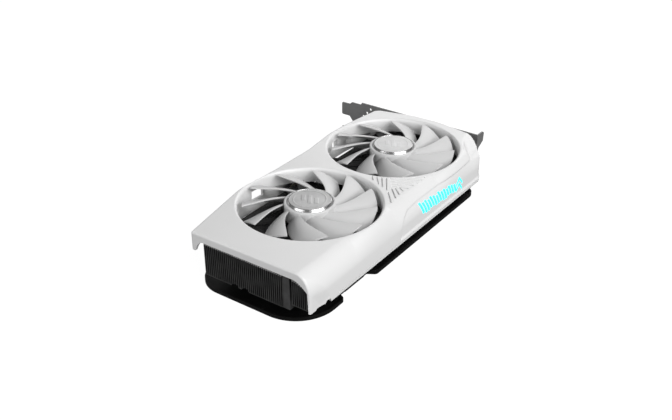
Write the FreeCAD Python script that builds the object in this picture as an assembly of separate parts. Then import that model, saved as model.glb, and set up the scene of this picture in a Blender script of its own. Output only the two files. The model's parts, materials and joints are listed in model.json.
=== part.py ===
import FreeCAD, Part
import math
import os
from FreeCAD import Vector

# Two-fan, two-slot graphics card, lying on its backplate.
# Frame (mm): origin on the backplate's outer face, midway between the two fan axes.
# +X runs to the port bracket, +Y to the slot contacts, +Z up out of the fans.

# ---------------------------------------------------------------- driving sizes
# fans
FAN_PITCH = 98.2
FAN_CENTRES = {"near": -FAN_PITCH / 2, "far": FAN_PITCH / 2}
BLADE_COUNT = 11
BLADE_TIP_RADIUS = 43.1
BLADE_THICKNESS = 1.5
BLADE_PHASE = 133.1
BLADE_ROOT_Z = 39.3
BLADE_TIP_RISE = 0.8
BLADE_DROP = 8.2
HUB_RADIUS = 16.6
HUB_WALL = 1.4
HUB_BOTTOM = 31.5
HUB_FLOOR = 41.4
HUB_RIM_TOP = 42.2
HUB_DISC_RADIUS = 13.55
HUB_DISC_TOP = 43.5
SHAFT_RADIUS = 1.5
SHAFT_CLEARANCE = 0.05
# fan motor frame
FRAME_BOTTOM = 29.2
FRAME_THICKNESS = 1.5
FRAME_TOP = FRAME_BOTTOM + FRAME_THICKNESS
FRAME_DISC_RADIUS = 15.0
ARM_REACH = 50.0
ARM_WIDTH = 5.0
ARM_ANGLES = (45, 135, 225, 315)
BEARING_HOUSING_RADIUS = 5.0
BEARING_RADIUS = 3.5
BEARING_TOP = 37.5
# shroud
SHROUD_TOP = 41.5
SHROUD_BOTTOM = 16.5
SHROUD_WALL = 2.0
SHROUD_SIDE_Y = -53.5
SHROUD_FRONT_X = -119.3
FRONT_LIMIT = -125.0
BACK_LIMIT = 110.0
SKIRT_BOTTOM = 33.1
DUCT_RADIUS = 46.0
DUCT_WALL = 1.2
DUCT_BOTTOM = 31.2
BOSS_RADIUS = 2.4
FAN_SCREW_RADIUS = 1.0
LOW_WALL_BOTTOM = 20.0
LOW_WALLS_X = ((-90.0, -13.2), (14.0, 86.0))
WINDOWS_X = ((-52.0, -41.0), (36.0, 46.0))
WINDOW_Z = (28.0, 35.0)
# fan plugs on the board
PLUG_X = {"near": -8.0, "far": 1.5}
PLUG_Y = 48.0
HEADER_TOP = 12.4
PLUG_TOP = 22.0
# fin stacks
FIN_FRONT_X = -116.8
FIN_PITCH = 1.52
FIN_THICKNESS = 0.5
FIN_BOTTOM = 12.1
FIN_TOP_UNDER_FAN = 28.0
FIN_TOP_AT_END = 35.0
FIN_STEP_X = -98.5
NEAR_FIN_BACK_X = -5.0
FAR_FIN_FRONT_X = 5.5
FAR_FIN_BACK_X = 97.0
FAR_FIN_BOTTOM = 14.5
FIN_LEFT_Y = 29.5
FIN_EXTENSION_Y = (30.5, 36.7)
NEAR_EXTENSION_X = (-93.0, -5.0)
FAR_EXTENSION_X = (14.0, 92.0)
FIN_RIGHT_Y = -30.9
SIDE_FIN_BOTTOM = 16.5
SIDE_FIN_RANGE_Y = (-50.8, -37.3)
SIDE_FIN_BACK_X = -80.0
# heat pipes
PIPE_RADIUS = 3.0
PIPE_LOW_Z = 10.8
PIPE_HIGH_Z = 21.5
PIPE_GROOVE_RADIUS = 3.15
STRAIGHT_PIPE_Y = (-2.0, 6.0)
FAR_PIPE_Y = 14.0
NEAR_PIPE_Y = 22.0
PIPE_BEND_Y = 40.3
PIPE_END_Y = -27.0
NEAR_PIPE_X = -65.0
FAR_PIPE_X = 49.0
NEAR_BEND_RADIUS = 8.4
FAR_BEND_RADIUS = 9.0
# circuit board
BOARD_BOTTOM = 2.8
BOARD_TOP = 4.4
BOARD_BACK_X = -70.0
BOARD_FRONT_X = 103.4
BOARD_RIGHT_Y = -42.4
BOARD_LEFT_Y = 60.6
TAB_END_Y = 68.8
KEY_X = BOARD_FRONT_X - 57.15
TAB_SHORT = 12.15
TAB_LONG = 71.65
KEY_WIDTH = 1.9
CONTACT_PITCH = 1.0
CONTACT_WIDTH = 0.7
CONTACT_LENGTH = 5.6
CONTACT_THICKNESS = 0.05
# graphics processor, memory and cooler base
GPU_X = 38.0
GPU_Y = 10.0
GPU_SIDE = 34.0
PACKAGE_TOP = 5.4
DIE_TOP = 6.2
COLD_PLATE_HALF = 22.0
COOLER_FRAME_BOTTOM = 6.5
COOLER_FRAME_TOP = 7.7
RETENTION_OFFSET = 26.0
CHIP_HEIGHT = 1.1
CHOKE_X = -20.0
CHOKE_ROWS_Y = (-36.0, -26.0, -16.0, 15.0, 25.0)
# port bracket
BRACKET_INNER_X = 104.2
BRACKET_THICKNESS = 0.9
BRACKET_BOTTOM = 0.2
BRACKET_TOP = BRACKET_BOTTOM + 18.42 + 20.32
BRACKET_TOP_Y = -37.3
BRACKET_LENGTH = 120.0
BRACKET_FLANGE = 10.0
FLANGE_CORNER = 2.4
FOLD_DEPTH = 2.4
TAB_BOTTOM = 31.0
VENT_RUNS = 7
VENT_PITCH = 13.0
VENT_RADIUS = 1.0
TONGUE_WIDTH = 10.19
SLOT_PITCH = 20.32
TONGUE_CENTRE = 9.8
PORT_DEPTH = 19.0
PORT_BOTTOM = 4.45
DISPLAY_PORTS_Y = (1.0, 22.0, 43.0)
VIDEO_PORT_Y = -20.0
# backplate
PLATE_THICKNESS = 1.5
PLATE_RIM_TOP = 6.5
PLATE_FRONT_X = -115.8
PLATE_SIDE_Y = -46.6
PLATE_RIM_WIDTH = 1.2
GRILLE_SLOTS = 4
GRILLE_X = -96.5
GRILLE_PITCH = 5.8
GRILLE_WIDTH = 3.5
GRILLE_HALF_LENGTH = 24.0
# power socket
POWER_X = -64.0
POWER_WIDTH = 20.6
POWER_FRONT_Y = -45.0
POWER_BACK_Y = -32.0
POWER_TOP = 14.4
POWER_PIN_PITCH = 4.2

Z_AXIS = Vector(0, 0, 1)


# ---------------------------------------------------------------- shape helpers
def box(x0, x1, y0, y1, z0, z1):
    return Part.makeBox(x1 - x0, y1 - y0, z1 - z0, Vector(x0, y0, z0))


def cylinder(x, y, z0, z1, radius):
    return Part.makeCylinder(radius, z1 - z0, Vector(x, y, z0))


def tube(x, y, z0, z1, outer, inner):
    return cylinder(x, y, z0, z1, outer).cut(cylinder(x, y, z0, z1, inner))


def fuse(shapes):
    """One solid from touching shapes, with the seams between them removed."""
    return shapes[0].multiFuse(shapes[1:]).removeSplitter()


def rounded_wire(corners):
    """Closed wire through (point, corner radius) pairs, each corner an arc."""
    count = len(corners)
    starts = []
    ends = []
    middles = []
    for i in range(count):
        point, radius = corners[i]
        to_before = (corners[i - 1][0] - point).normalize()
        to_after = (corners[(i + 1) % count][0] - point).normalize()
        if radius <= 0:
            starts.append(point)
            ends.append(point)
            middles.append(None)
            continue
        half = to_before.getAngle(to_after) / 2
        reach = radius / math.tan(half)
        bisector = (to_before + to_after).normalize()
        centre = point + bisector * (radius / math.sin(half))
        starts.append(point + to_before * reach)
        ends.append(point + to_after * reach)
        middles.append(centre - bisector * radius)
    edges = []
    for i in range(count):
        if middles[i] is not None:
            edges.append(Part.Arc(starts[i], middles[i], ends[i]).toShape())
        following = starts[(i + 1) % count]
        if (following - ends[i]).Length > 1e-6:
            edges.append(Part.LineSegment(ends[i], following).toShape())
    return Part.Wire(edges)


def plan_prism(corners, z0, z1):
    """Prism with a vertical axis over (x, y, corner radius) points."""
    wire = rounded_wire([(Vector(x, y, z0), radius) for x, y, radius in corners])
    return Part.Face(wire).extrude(Vector(0, 0, z1 - z0))


def side_prism(corners, x0, x1):
    """Prism along X over (y, z, corner radius) points."""
    wire = rounded_wire([(Vector(x0, y, z), radius) for y, z, radius in corners])
    return Part.Face(wire).extrude(Vector(x1 - x0, 0, 0))


def front_prism(corners, y0, y1):
    """Prism along Y over (x, z, corner radius) points."""
    wire = rounded_wire([(Vector(x, y0, z), radius) for x, z, radius in corners])
    return Part.Face(wire).extrude(Vector(0, y1 - y0, 0))


def round_path(points, radius):
    """Open wire of straight runs joined by tangent arcs of one radius."""
    edges = []
    last = points[0]
    for i in range(1, len(points) - 1):
        to_before = (points[i - 1] - points[i]).normalize()
        to_after = (points[i + 1] - points[i]).normalize()
        half = to_before.getAngle(to_after) / 2
        reach = radius / math.tan(half)
        bisector = (to_before + to_after).normalize()
        middle = points[i] + bisector * (radius / math.sin(half) - radius)
        start = points[i] + to_before * reach
        end = points[i] + to_after * reach
        edges.append(Part.LineSegment(last, start).toShape())
        edges.append(Part.Arc(start, middle, end).toShape())
        last = end
    edges.append(Part.LineSegment(last, points[-1]).toShape())
    return Part.Wire(edges)


def pipe_along(points, bend_radius, tube_radius):
    """Solid round bar along a bent path."""
    path = round_path(points, bend_radius)
    first = (points[1] - points[0]).normalize()
    ring = Part.Wire(Part.makeCircle(tube_radius, points[0], first))
    return path.makePipeShell([ring], True, False)


# ---------------------------------------------------------------- fans
def blade_edge_angle(t):
    """Leading-edge angle in degrees behind the tip, t = 0 at the root and 1 at the tip."""
    return -37.0 + 60.5 * t - 23.5 * t * t


def blade_chord_angle(t):
    return 32.0 - 8.0 * t


def fan_blade(x, phase):
    """One forward-swept blade: a curved sheet given an even vertical thickness."""
    root = HUB_RADIUS - HUB_WALL / 2
    rows = []
    for i in range(7):
        t = i / 6
        radius = root + (BLADE_TIP_RADIUS - root) * t
        row = []
        for j in range(6):
            s = j / 5
            angle = math.radians(phase + blade_edge_angle(t) - blade_chord_angle(t) * s)
            height = BLADE_ROOT_Z + BLADE_TIP_RISE * t - BLADE_DROP * s ** 1.5 * (1 - 0.12 * t)
            row.append(Vector(x + radius * math.cos(angle), radius * math.sin(angle), height))
        rows.append(row)
    surface = Part.BSplineSurface()
    surface.interpolate(rows)
    return surface.toShape().extrude(Vector(0, 0, BLADE_THICKNESS))


def fan_rotor(x):
    """Hub cup with its blades, moulded in one piece."""
    inner = HUB_RADIUS - HUB_WALL
    cup = cylinder(x, 0, HUB_BOTTOM, HUB_RIM_TOP, HUB_RADIUS)
    cup = cup.cut(cylinder(x, 0, HUB_BOTTOM, HUB_FLOOR - 2.0, inner))
    cup = cup.cut(cylinder(x, 0, HUB_FLOOR, HUB_RIM_TOP, HUB_RADIUS - 1.2))
    boss = cylinder(x, 0, BEARING_TOP + 0.6, HUB_FLOOR - 2.0, 3.4)
    pitch = 360.0 / BLADE_COUNT
    blades = [fan_blade(x, BLADE_PHASE - k * pitch) for k in range(BLADE_COUNT)]
    core = cylinder(x, 0, HUB_BOTTOM - 2.0, HUB_RIM_TOP, HUB_RADIUS - HUB_WALL)
    blades = [blade.cut(core) for blade in blades]
    rotor = fuse([cup, boss] + blades)
    return rotor.cut(cylinder(x, 0, HUB_BOTTOM, HUB_FLOOR - 1.0, SHAFT_RADIUS))


def hub_disc(x):
    disc = cylinder(x, 0, HUB_FLOOR, HUB_DISC_TOP, HUB_DISC_RADIUS)
    return disc.makeChamfer(0.25, [disc.Edges[0]])


def hub_bezel(x):
    """Polished bevelled ring around the disc."""
    inner = HUB_DISC_RADIUS + 0.05
    outer = HUB_RADIUS - 1.25
    profile = [
        Vector(x + inner, 0, HUB_FLOOR),
        Vector(x + outer, 0, HUB_FLOOR),
        Vector(x + outer, 0, HUB_RIM_TOP + 0.1),
        Vector(x + inner, 0, HUB_DISC_TOP - 0.3),
        Vector(x + inner, 0, HUB_FLOOR),
    ]
    face = Part.Face(Part.makePolygon(profile))
    return face.revolve(Vector(x, 0, 0), Z_AXIS, 360)


def magnet_ring(x):
    outer = HUB_RADIUS - HUB_WALL
    return tube(x, 0, HUB_BOTTOM + 0.5, HUB_BOTTOM + 7.0, outer, outer - 2.0)


def fan_shaft(x):
    return cylinder(x, 0, FRAME_TOP + 0.3, HUB_FLOOR - 1.0, SHAFT_RADIUS)


def fan_bearing(x):
    return tube(x, 0, FRAME_TOP, BEARING_TOP, BEARING_RADIUS, SHAFT_RADIUS + SHAFT_CLEARANCE)


def arm_point(x, angle, reach):
    return x + reach * math.cos(math.radians(angle)), reach * math.sin(math.radians(angle))


def motor_frame(x):
    """Motor base with its bearing housing and four arms that carry the fan."""
    pieces = [cylinder(x, 0, FRAME_BOTTOM, FRAME_TOP, FRAME_DISC_RADIUS)]
    housing = cylinder(x, 0, FRAME_TOP, BEARING_TOP, BEARING_HOUSING_RADIUS)
    pieces.append(housing)
    for angle in ARM_ANGLES:
        arm = box(0, ARM_REACH, -ARM_WIDTH / 2, ARM_WIDTH / 2, FRAME_BOTTOM, FRAME_TOP)
        arm = arm.fuse(cylinder(ARM_REACH, 0, FRAME_BOTTOM, FRAME_TOP, ARM_WIDTH / 2))
        arm.rotate(Vector(0, 0, 0), Z_AXIS, angle)
        arm.translate(Vector(x, 0, 0))
        pieces.append(arm)
    frame = fuse(pieces)
    holes = [cylinder(x, 0, FRAME_TOP, BEARING_TOP, BEARING_RADIUS)]
    for angle in ARM_ANGLES:
        px, py = arm_point(x, angle, ARM_REACH)
        holes.append(cylinder(px, py, FRAME_BOTTOM, FRAME_TOP, FAN_SCREW_RADIUS))
    return frame.cut(holes)


def stator_core(x):
    """Four-pole lamination stack on the bearing housing."""
    z0 = FRAME_TOP + 1.0
    z1 = z0 + 4.6
    pieces = [cylinder(x, 0, z0, z1, 7.0)]
    rim = tube(x, 0, z0, z1, 12.4, 11.0)
    for angle in ARM_ANGLES:
        neck = box(5.5, 11.6, -1.6, 1.6, z0, z1)
        neck.rotate(Vector(0, 0, 0), Z_AXIS, angle - 45)
        neck.translate(Vector(x, 0, 0))
        pieces.append(neck)
    gaps = []
    for angle in ARM_ANGLES:
        gap = box(10.0, 14.0, -1.0, 1.0, z0, z1)
        gap.rotate(Vector(0, 0, 0), Z_AXIS, angle)
        gap.translate(Vector(x, 0, 0))
        gaps.append(gap)
    pieces.append(rim)
    core = fuse(pieces).cut(gaps)
    return core.cut(cylinder(x, 0, z0, z1, BEARING_HOUSING_RADIUS))


def motor_windings(x):
    """Four copper coils round the stator necks."""
    z0 = FRAME_TOP + 0.4
    z1 = FRAME_TOP + 6.2
    coils = []
    for angle in ARM_ANGLES:
        coil = box(7.4, 10.4, -2.8, 2.8, z0, z1)
        coil = coil.cut(box(7.4, 10.4, -1.6, 1.6, z0 + 0.6, z1 - 0.6))
        coil.rotate(Vector(0, 0, 0), Z_AXIS, angle - 45)
        coil.translate(Vector(x, 0, 0))
        coils.append(coil)
    return Part.makeCompound(coils)


def fan_lead(fan_x, side, plug_x):
    """Lead from the motor frame to its plug on the board; side is +1 towards +X."""
    points = [
        Vector(fan_x + side * 7.7, 13.4, 29.3),
        Vector(fan_x + side * 21.0, 36.5, 29.3),
        Vector(plug_x - side * 5.0, PLUG_Y - 6.5, 27.5),
        Vector(plug_x, PLUG_Y, 26.5),
        Vector(plug_x, PLUG_Y, PLUG_TOP),
    ]
    return pipe_along(points, 2.6, 0.8)


def fan_plug(x):
    body = box(x - 4.0, x + 4.0, PLUG_Y - 2.4, PLUG_Y + 2.4, HEADER_TOP, PLUG_TOP)
    return body.makeChamfer(0.5, [edge for edge in body.Edges if edge.CenterOfMass.z > PLUG_TOP - 0.1])


def fan_headers():
    headers = []
    for x in PLUG_X.values():
        headers.append(box(x - 4.5, x + 4.5, PLUG_Y - 3.0, PLUG_Y + 3.0, BOARD_TOP, HEADER_TOP))
    return Part.makeCompound(headers)


def fan_screws():
    screws = []
    for x in FAN_CENTRES.values():
        for angle in ARM_ANGLES:
            px, py = arm_point(x, angle, ARM_REACH)
            shank = cylinder(px, py, FRAME_BOTTOM, FRAME_TOP + 5.0, FAN_SCREW_RADIUS)
            head = cylinder(px, py, FRAME_BOTTOM - 0.9, FRAME_BOTTOM, 1.9)
            screws.append(shank.fuse(head).removeSplitter())
    return Part.makeCompound(screws)


# ---------------------------------------------------------------- shroud and emblem
def shroud_outline(inset):
    """Plan of the shroud's outer wall, moved inwards by inset."""
    front = SHROUD_FRONT_X + inset
    side = SHROUD_SIDE_Y + inset
    return [
        (front, 36.8 - inset, 2.5),
        (-60.0, 48.4 - inset, 60.0),
        (-26.0, 46.4 - inset, 60.0),
        (12.0, 46.4 - inset, 60.0),
        (40.0, 49.4 - inset, 60.0),
        (60.0, 49.0 - inset, 60.0),
        (95.5 - inset, 44.5 - inset, 7.0),
        (102.3 - inset, 17.0, 40.0),
        (103.2 - inset, -6.0, 40.0),
        (98.3 - inset, -37.0 + inset / 2, 14.0),
        (83.0 - inset / 2, side, 12.0),
        (front + 1.6, side, 2.0 - inset / 2),
    ]


def shroud_section(inset, bottom):
    """Section across the card: soft shoulder on the side wall, tight edge on the other."""
    top = SHROUD_TOP - inset
    side = SHROUD_SIDE_Y + inset
    return [
        (side, bottom, 0),
        (side, 31.0 - 0.4 * inset, 9.0),
        (side + 6.0 - 0.35 * inset, 39.5 - 0.8 * inset, 8.0),
        (side + 15.5 - inset, top, 15.0),
        (50.6 - inset, top, 3.0),
        (50.6 - inset, bottom, 0),
    ]


def shroud_envelope(inset, bottom):
    """Everything inside the shroud's outer surface, or inside a surface moved inwards."""
    plan = plan_prism(shroud_outline(inset), bottom, SHROUD_TOP)
    return plan.common(side_prism(shroud_section(inset, bottom), FRONT_LIMIT, BACK_LIMIT))


def shroud_shell():
    """Wall of the shroud before any opening is cut."""
    inside = shroud_envelope(SHROUD_WALL, SHROUD_BOTTOM - 1)
    return shroud_envelope(0, SHROUD_BOTTOM).cut(inside)


def emblem_prisms():
    """Slanted bars of rising height and one chevron, as prisms through the side wall."""
    y0 = SHROUD_SIDE_Y - 2
    y1 = SHROUD_SIDE_Y + 8
    lean = 2.0
    prisms = []
    heights = (4.0, 7.0, 9.5, 6.0, 9.5, 7.0, 4.5)
    for i, height in enumerate(heights):
        x = 1.5 + i * 4.8
        z = 30.0 - height / 2
        top = z + height
        corners = [(x, z, 0), (x + 2.6, z, 0), (x + 2.6 + lean, top, 0), (x + lean, top, 0)]
        prisms.append(front_prism(corners, y0, y1))
    chevron = [
        (40.0, 24.5, 0),
        (44.5, 24.5, 0),
        (50.5, 29.5, 0),
        (44.5, 34.5, 0),
        (40.0, 34.5, 0),
        (46.0, 29.5, 0),
    ]
    prisms.append(front_prism(chevron, y0, y1))
    return prisms


def fan_shroud(shell):
    """White cover: shell with two ducts and fan bosses, open at its front end and far corner.

    On the contact side its wall is short, with two deeper stretches beside the fans;
    each has a window, and the near one a screw hole.
    """
    ducts = []
    bosses = []
    openings = []
    for x in FAN_CENTRES.values():
        outer = DUCT_RADIUS + DUCT_WALL
        ducts.append(cylinder(x, 0, DUCT_BOTTOM, SHROUD_TOP - 1, outer))
        openings.append(cylinder(x, 0, DUCT_BOTTOM - 5, SHROUD_TOP + 1, DUCT_RADIUS))
        for angle in ARM_ANGLES:
            px, py = arm_point(x, angle, ARM_REACH)
            bosses.append(cylinder(px, py, FRAME_TOP, SHROUD_TOP - 1, BOSS_RADIUS))
            openings.append(cylinder(px, py, FRAME_TOP, FRAME_TOP + 5.5, FAN_SCREW_RADIUS))
    low_walls = [box(x0, x1, 38.0, 52.0, LOW_WALL_BOTTOM, SKIRT_BOTTOM + 1) for x0, x1 in LOW_WALLS_X]
    skirt_cut = box(FRONT_LIMIT, BACK_LIMIT, 20.0, 60.0, SHROUD_BOTTOM - 1, SKIRT_BOTTOM).cut(low_walls)
    end_cut = box(FRONT_LIMIT, -112, SHROUD_SIDE_Y + SHROUD_WALL, 34.2, SHROUD_BOTTOM - 1, 36.2)
    far_cut = box(88.0, BACK_LIMIT, -38.0, 60.0, SHROUD_BOTTOM - 1, SKIRT_BOTTOM)
    envelope = shroud_envelope(0, SHROUD_BOTTOM)
    ducts = [duct.common(envelope) for duct in ducts]
    body = shell.cut([skirt_cut, end_cut, far_cut])
    body = fuse([body] + ducts + bosses)
    for x0, x1 in WINDOWS_X:
        openings.append(box(x0, x1, 40.0, 52.0, *WINDOW_Z))
    openings.append(Part.makeCylinder(1.5, 12, Vector(-29.0, 40.0, 24.0), Vector(0, 1, 0)))
    return body.cut(openings + emblem_prisms())


def emblem_lens(shell):
    """Translucent emblem pieces that fill the windows in the side wall."""
    pieces = []
    for prism in emblem_prisms():
        pieces.extend(prism.common(shell).Solids)
    return Part.makeCompound(pieces)


def light_board():
    """Circuit strip that carries the light-emitting diodes behind the emblem."""
    return box(0.0, 54.0, SHROUD_SIDE_Y + 3.9, SHROUD_SIDE_Y + 4.7, 20.0, 29.5)


def light_diodes():
    diodes = []
    for i in range(10):
        x = 3.5 + i * 5.2
        y0 = SHROUD_SIDE_Y + 3.2
        diodes.append(box(x - 1.2, x + 1.2, y0, y0 + 0.7, 25.6, 28.0))
    return Part.makeCompound(diodes)


# ---------------------------------------------------------------- heatsink
def fin_positions(y0, y1):
    count = int(round((y1 - y0 - FIN_THICKNESS) / FIN_PITCH))
    pitch = (y1 - y0 - FIN_THICKNESS) / count
    return [y0 + i * pitch for i in range(count + 1)]


def fin_stack(plates, tie_boxes):
    """Thin plates along Y, locked into one stack by folded ties."""
    return plates[0].multiFuse(plates[1:] + tie_boxes)


def equal_fins(profile, y0, y1):
    return [front_prism(profile, y, y + FIN_THICKNESS) for y in fin_positions(y0, y1)]


def straight_pipe_grooves():
    grooves = []
    for y in STRAIGHT_PIPE_Y:
        groove = Part.makeCylinder(PIPE_GROOVE_RADIUS, 130, Vector(-125, y, PIPE_LOW_Z), Vector(1, 0, 0))
        slot = box(-125, 5, y - PIPE_GROOVE_RADIUS, y + PIPE_GROOVE_RADIUS, 5, PIPE_LOW_Z)
        grooves.append(groove.fuse(slot))
    return grooves


def near_pipe_route():
    """From the cold plate out past the stack, up along it, and back across its fins."""
    return [
        Vector(GPU_X + COLD_PLATE_HALF - 2.0, NEAR_PIPE_Y, PIPE_LOW_Z),
        Vector(0.5, NEAR_PIPE_Y, PIPE_LOW_Z),
        Vector(0.5, PIPE_BEND_Y, PIPE_LOW_Z),
        Vector(NEAR_PIPE_X, PIPE_BEND_Y, PIPE_HIGH_Z),
        Vector(NEAR_PIPE_X, PIPE_END_Y, PIPE_HIGH_Z),
    ]


def far_pipe_route():
    return [
        Vector(GPU_X - COLD_PLATE_HALF + 2.0, FAR_PIPE_Y, PIPE_LOW_Z),
        Vector(70.0, FAR_PIPE_Y, PIPE_LOW_Z),
        Vector(70.0, PIPE_BEND_Y, PIPE_LOW_Z),
        Vector(FAR_PIPE_X, PIPE_BEND_Y, PIPE_HIGH_Z),
        Vector(FAR_PIPE_X, PIPE_END_Y, PIPE_HIGH_Z),
    ]


def near_fins():
    """Stack under the near fan, taller at the open end and wider beside the bent pipe."""
    y0, y1 = FIN_RIGHT_Y, FIN_LEFT_Y
    tie = 0.4
    top = FIN_TOP_UNDER_FAN
    profile = [
        (FIN_FRONT_X, FIN_BOTTOM, 0),
        (NEAR_FIN_BACK_X, FIN_BOTTOM, 0),
        (NEAR_FIN_BACK_X, top, 0),
        (FIN_STEP_X, top, 0),
        (FIN_STEP_X - 1.5, FIN_TOP_AT_END, 0),
        (FIN_FRONT_X, FIN_TOP_AT_END, 0),
    ]
    y2 = FIN_EXTENSION_Y[1]
    ties = [
        box(FIN_FRONT_X, FIN_FRONT_X + 3.0, y0, y1, FIN_TOP_AT_END - tie, FIN_TOP_AT_END),
        box(FIN_FRONT_X, FIN_FRONT_X + 3.0, y0, y1, FIN_BOTTOM, FIN_BOTTOM + tie),
    ]
    for x in (-84.0, -24.0):
        ties.append(box(x, x + 6.0, y0, y2, top - tie, top))
    for x in (-92.0, -60.0, -14.0):
        ties.append(box(x, x + 6.0, y0, y2, FIN_BOTTOM, FIN_BOTTOM + tie))
    plates = equal_fins(profile, y0, y1)
    plates += equal_fins(flat_profile(NEAR_EXTENSION_X, FIN_BOTTOM), *FIN_EXTENSION_Y)
    bend_room = pipe_along(near_pipe_route(), NEAR_BEND_RADIUS, PIPE_GROOVE_RADIUS)
    return fin_stack(plates, ties).cut(straight_pipe_grooves() + [bend_room])


def flat_profile(range_x, bottom):
    x0, x1 = range_x
    return [(x0, bottom, 0), (x1, bottom, 0), (x1, FIN_TOP_UNDER_FAN, 0), (x0, FIN_TOP_UNDER_FAN, 0)]


def side_profile(y):
    """Side fins follow the shroud's shoulder, so each one has its own height at the end."""
    depth = (SIDE_FIN_RANGE_Y[1] - y) / (SIDE_FIN_RANGE_Y[1] - SIDE_FIN_RANGE_Y[0])
    end_top = FIN_TOP_AT_END - 5.4 * depth * depth
    return [
        (FIN_FRONT_X, SIDE_FIN_BOTTOM, 0),
        (SIDE_FIN_BACK_X, SIDE_FIN_BOTTOM, 0),
        (SIDE_FIN_BACK_X, FIN_TOP_UNDER_FAN, 0),
        (FIN_STEP_X, FIN_TOP_UNDER_FAN, 0),
        (FIN_STEP_X - 1.5, end_top, 0),
        (FIN_FRONT_X, end_top, 0),
    ]


def side_fins():
    y0, y1 = SIDE_FIN_RANGE_Y
    tie = 0.4
    ties = [
        box(FIN_FRONT_X, FIN_FRONT_X + 3.0, y0, y1, SIDE_FIN_BOTTOM, SIDE_FIN_BOTTOM + tie),
        box(-90.0, -84.0, y0, y1, SIDE_FIN_BOTTOM, SIDE_FIN_BOTTOM + tie),
        box(-90.0, -84.0, y0, y1, FIN_TOP_UNDER_FAN - tie, FIN_TOP_UNDER_FAN),
    ]
    plates = [front_prism(side_profile(y), y, y + FIN_THICKNESS) for y in fin_positions(y0, y1)]
    return fin_stack(plates, ties)


def far_fins():
    y0, y1 = FIN_RIGHT_Y, FIN_LEFT_Y
    tie = 0.4
    top = FIN_TOP_UNDER_FAN
    ties = []
    for x in (22.0, 56.0, 84.0):
        ties.append(box(x, x + 6.0, y0, FIN_EXTENSION_Y[1], top - tie, top))
        ties.append(box(x, x + 6.0, y0, FIN_EXTENSION_Y[1], FAR_FIN_BOTTOM, FAR_FIN_BOTTOM + tie))
    plates = equal_fins(flat_profile((FAR_FIN_FRONT_X, FAR_FIN_BACK_X), FAR_FIN_BOTTOM), y0, y1)
    plates += equal_fins(flat_profile(FAR_EXTENSION_X, FAR_FIN_BOTTOM), *FIN_EXTENSION_Y)
    bend_room = pipe_along(far_pipe_route(), FAR_BEND_RADIUS, PIPE_GROOVE_RADIUS)
    return fin_stack(plates, ties).cut(bend_room)


def heatsink_rib():
    """Folded sheet strip between the main and the side fins."""
    web = box(FIN_FRONT_X, -85.0, -35.8, -35.0, FIN_BOTTOM, 27.9)
    face = box(FIN_FRONT_X, FIN_FRONT_X + 0.8, -35.8, -31.0, FIN_BOTTOM, FIN_TOP_AT_END)
    return fuse([web, face])


def straight_heat_pipes():
    pipes = []
    for y in STRAIGHT_PIPE_Y:
        start = Vector(-100.0, y, PIPE_LOW_Z)
        length = GPU_X + COLD_PLATE_HALF - 2.0 - start.x
        pipe = Part.makeCylinder(PIPE_RADIUS, length, start, Vector(1, 0, 0))
        pipes.append(pipe.makeFillet(1.2, [edge for edge in pipe.Edges if len(edge.Vertexes) == 1]))
    return Part.makeCompound(pipes)


def near_heat_pipe():
    return pipe_along(near_pipe_route(), NEAR_BEND_RADIUS, PIPE_RADIUS)


def far_heat_pipe():
    return pipe_along(far_pipe_route(), FAR_BEND_RADIUS, PIPE_RADIUS)


def cold_plate():
    """Nickel-plated block that the heat pipes run through."""
    half = COLD_PLATE_HALF
    block = box(GPU_X - half, GPU_X + half, GPU_Y - half, GPU_Y + half, DIE_TOP, FAR_FIN_BOTTOM)
    bores = []
    for y in STRAIGHT_PIPE_Y + (FAR_PIPE_Y, NEAR_PIPE_Y):
        start = Vector(GPU_X - half - 1, y, PIPE_LOW_Z)
        bores.append(Part.makeCylinder(PIPE_RADIUS, 2 * half + 2, start, Vector(1, 0, 0)))
    return block.cut(bores)


def retention_places():
    places = []
    for sx in (-1, 1):
        for sy in (-1, 1):
            places.append((GPU_X + sx * RETENTION_OFFSET, GPU_Y + sy * RETENTION_OFFSET))
    return places


def cooler_frame():
    """Aluminium plate on the memory and power stages, with four posts down to the board."""
    z0, z1 = COOLER_FRAME_BOTTOM, COOLER_FRAME_TOP
    plate = plan_prism([(-15.5, -40.0, 3), (78.0, -40.0, 3), (78.0, 44.0, 3), (-15.5, 44.0, 3)], z0, z1)
    hole = COLD_PLATE_HALF + 0.5
    window = box(GPU_X - hole, GPU_X + hole, GPU_Y - hole, GPU_Y + hole, z0, z1)
    posts = [cylinder(x, y, BOARD_TOP, z1, 3.0) for x, y in retention_places()]
    screw_holes = [cylinder(x, y, BOARD_TOP, 6.6, 1.2) for x, y in retention_places()]
    return fuse([plate.cut(window)] + posts).cut(screw_holes)


def retention_screws():
    screws = []
    for x, y in retention_places():
        head = cylinder(x, y, 0.2, 1.0, 3.1)
        screws.append(head.fuse(cylinder(x, y, 1.0, 6.6, 1.2)).removeSplitter())
    return Part.makeCompound(screws)


def retention_springs():
    """Conical disc springs between the screw heads and the board."""
    low, high, sheet = 1.05, BOARD_BOTTOM - 0.05, 0.4
    inner, outer = 1.4, 3.0
    springs = []
    for x, y in retention_places():
        profile = [
            Vector(x + outer, y, low),
            Vector(x + inner, y, high - sheet),
            Vector(x + inner, y, high),
            Vector(x + outer, y, low + sheet),
            Vector(x + outer, y, low),
        ]
        face = Part.Face(Part.makePolygon(profile))
        springs.append(face.revolve(Vector(x, y, 0), Z_AXIS, 360))
    return Part.makeCompound(springs)


# ---------------------------------------------------------------- board and parts on it
def memory_places():
    """Centre and size of each memory chip round the processor."""
    places = []
    for sx in (-1, 1):
        for dy in (-9.0, 9.0):
            places.append((GPU_X + sx * 33.0, GPU_Y + dy, 12.0, 14.0))
    for sy in (-1, 1):
        for dx in (-9.0, 9.0):
            places.append((GPU_X + dx, GPU_Y + sy * 29.0, 14.0, 9.5))
    return places


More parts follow.
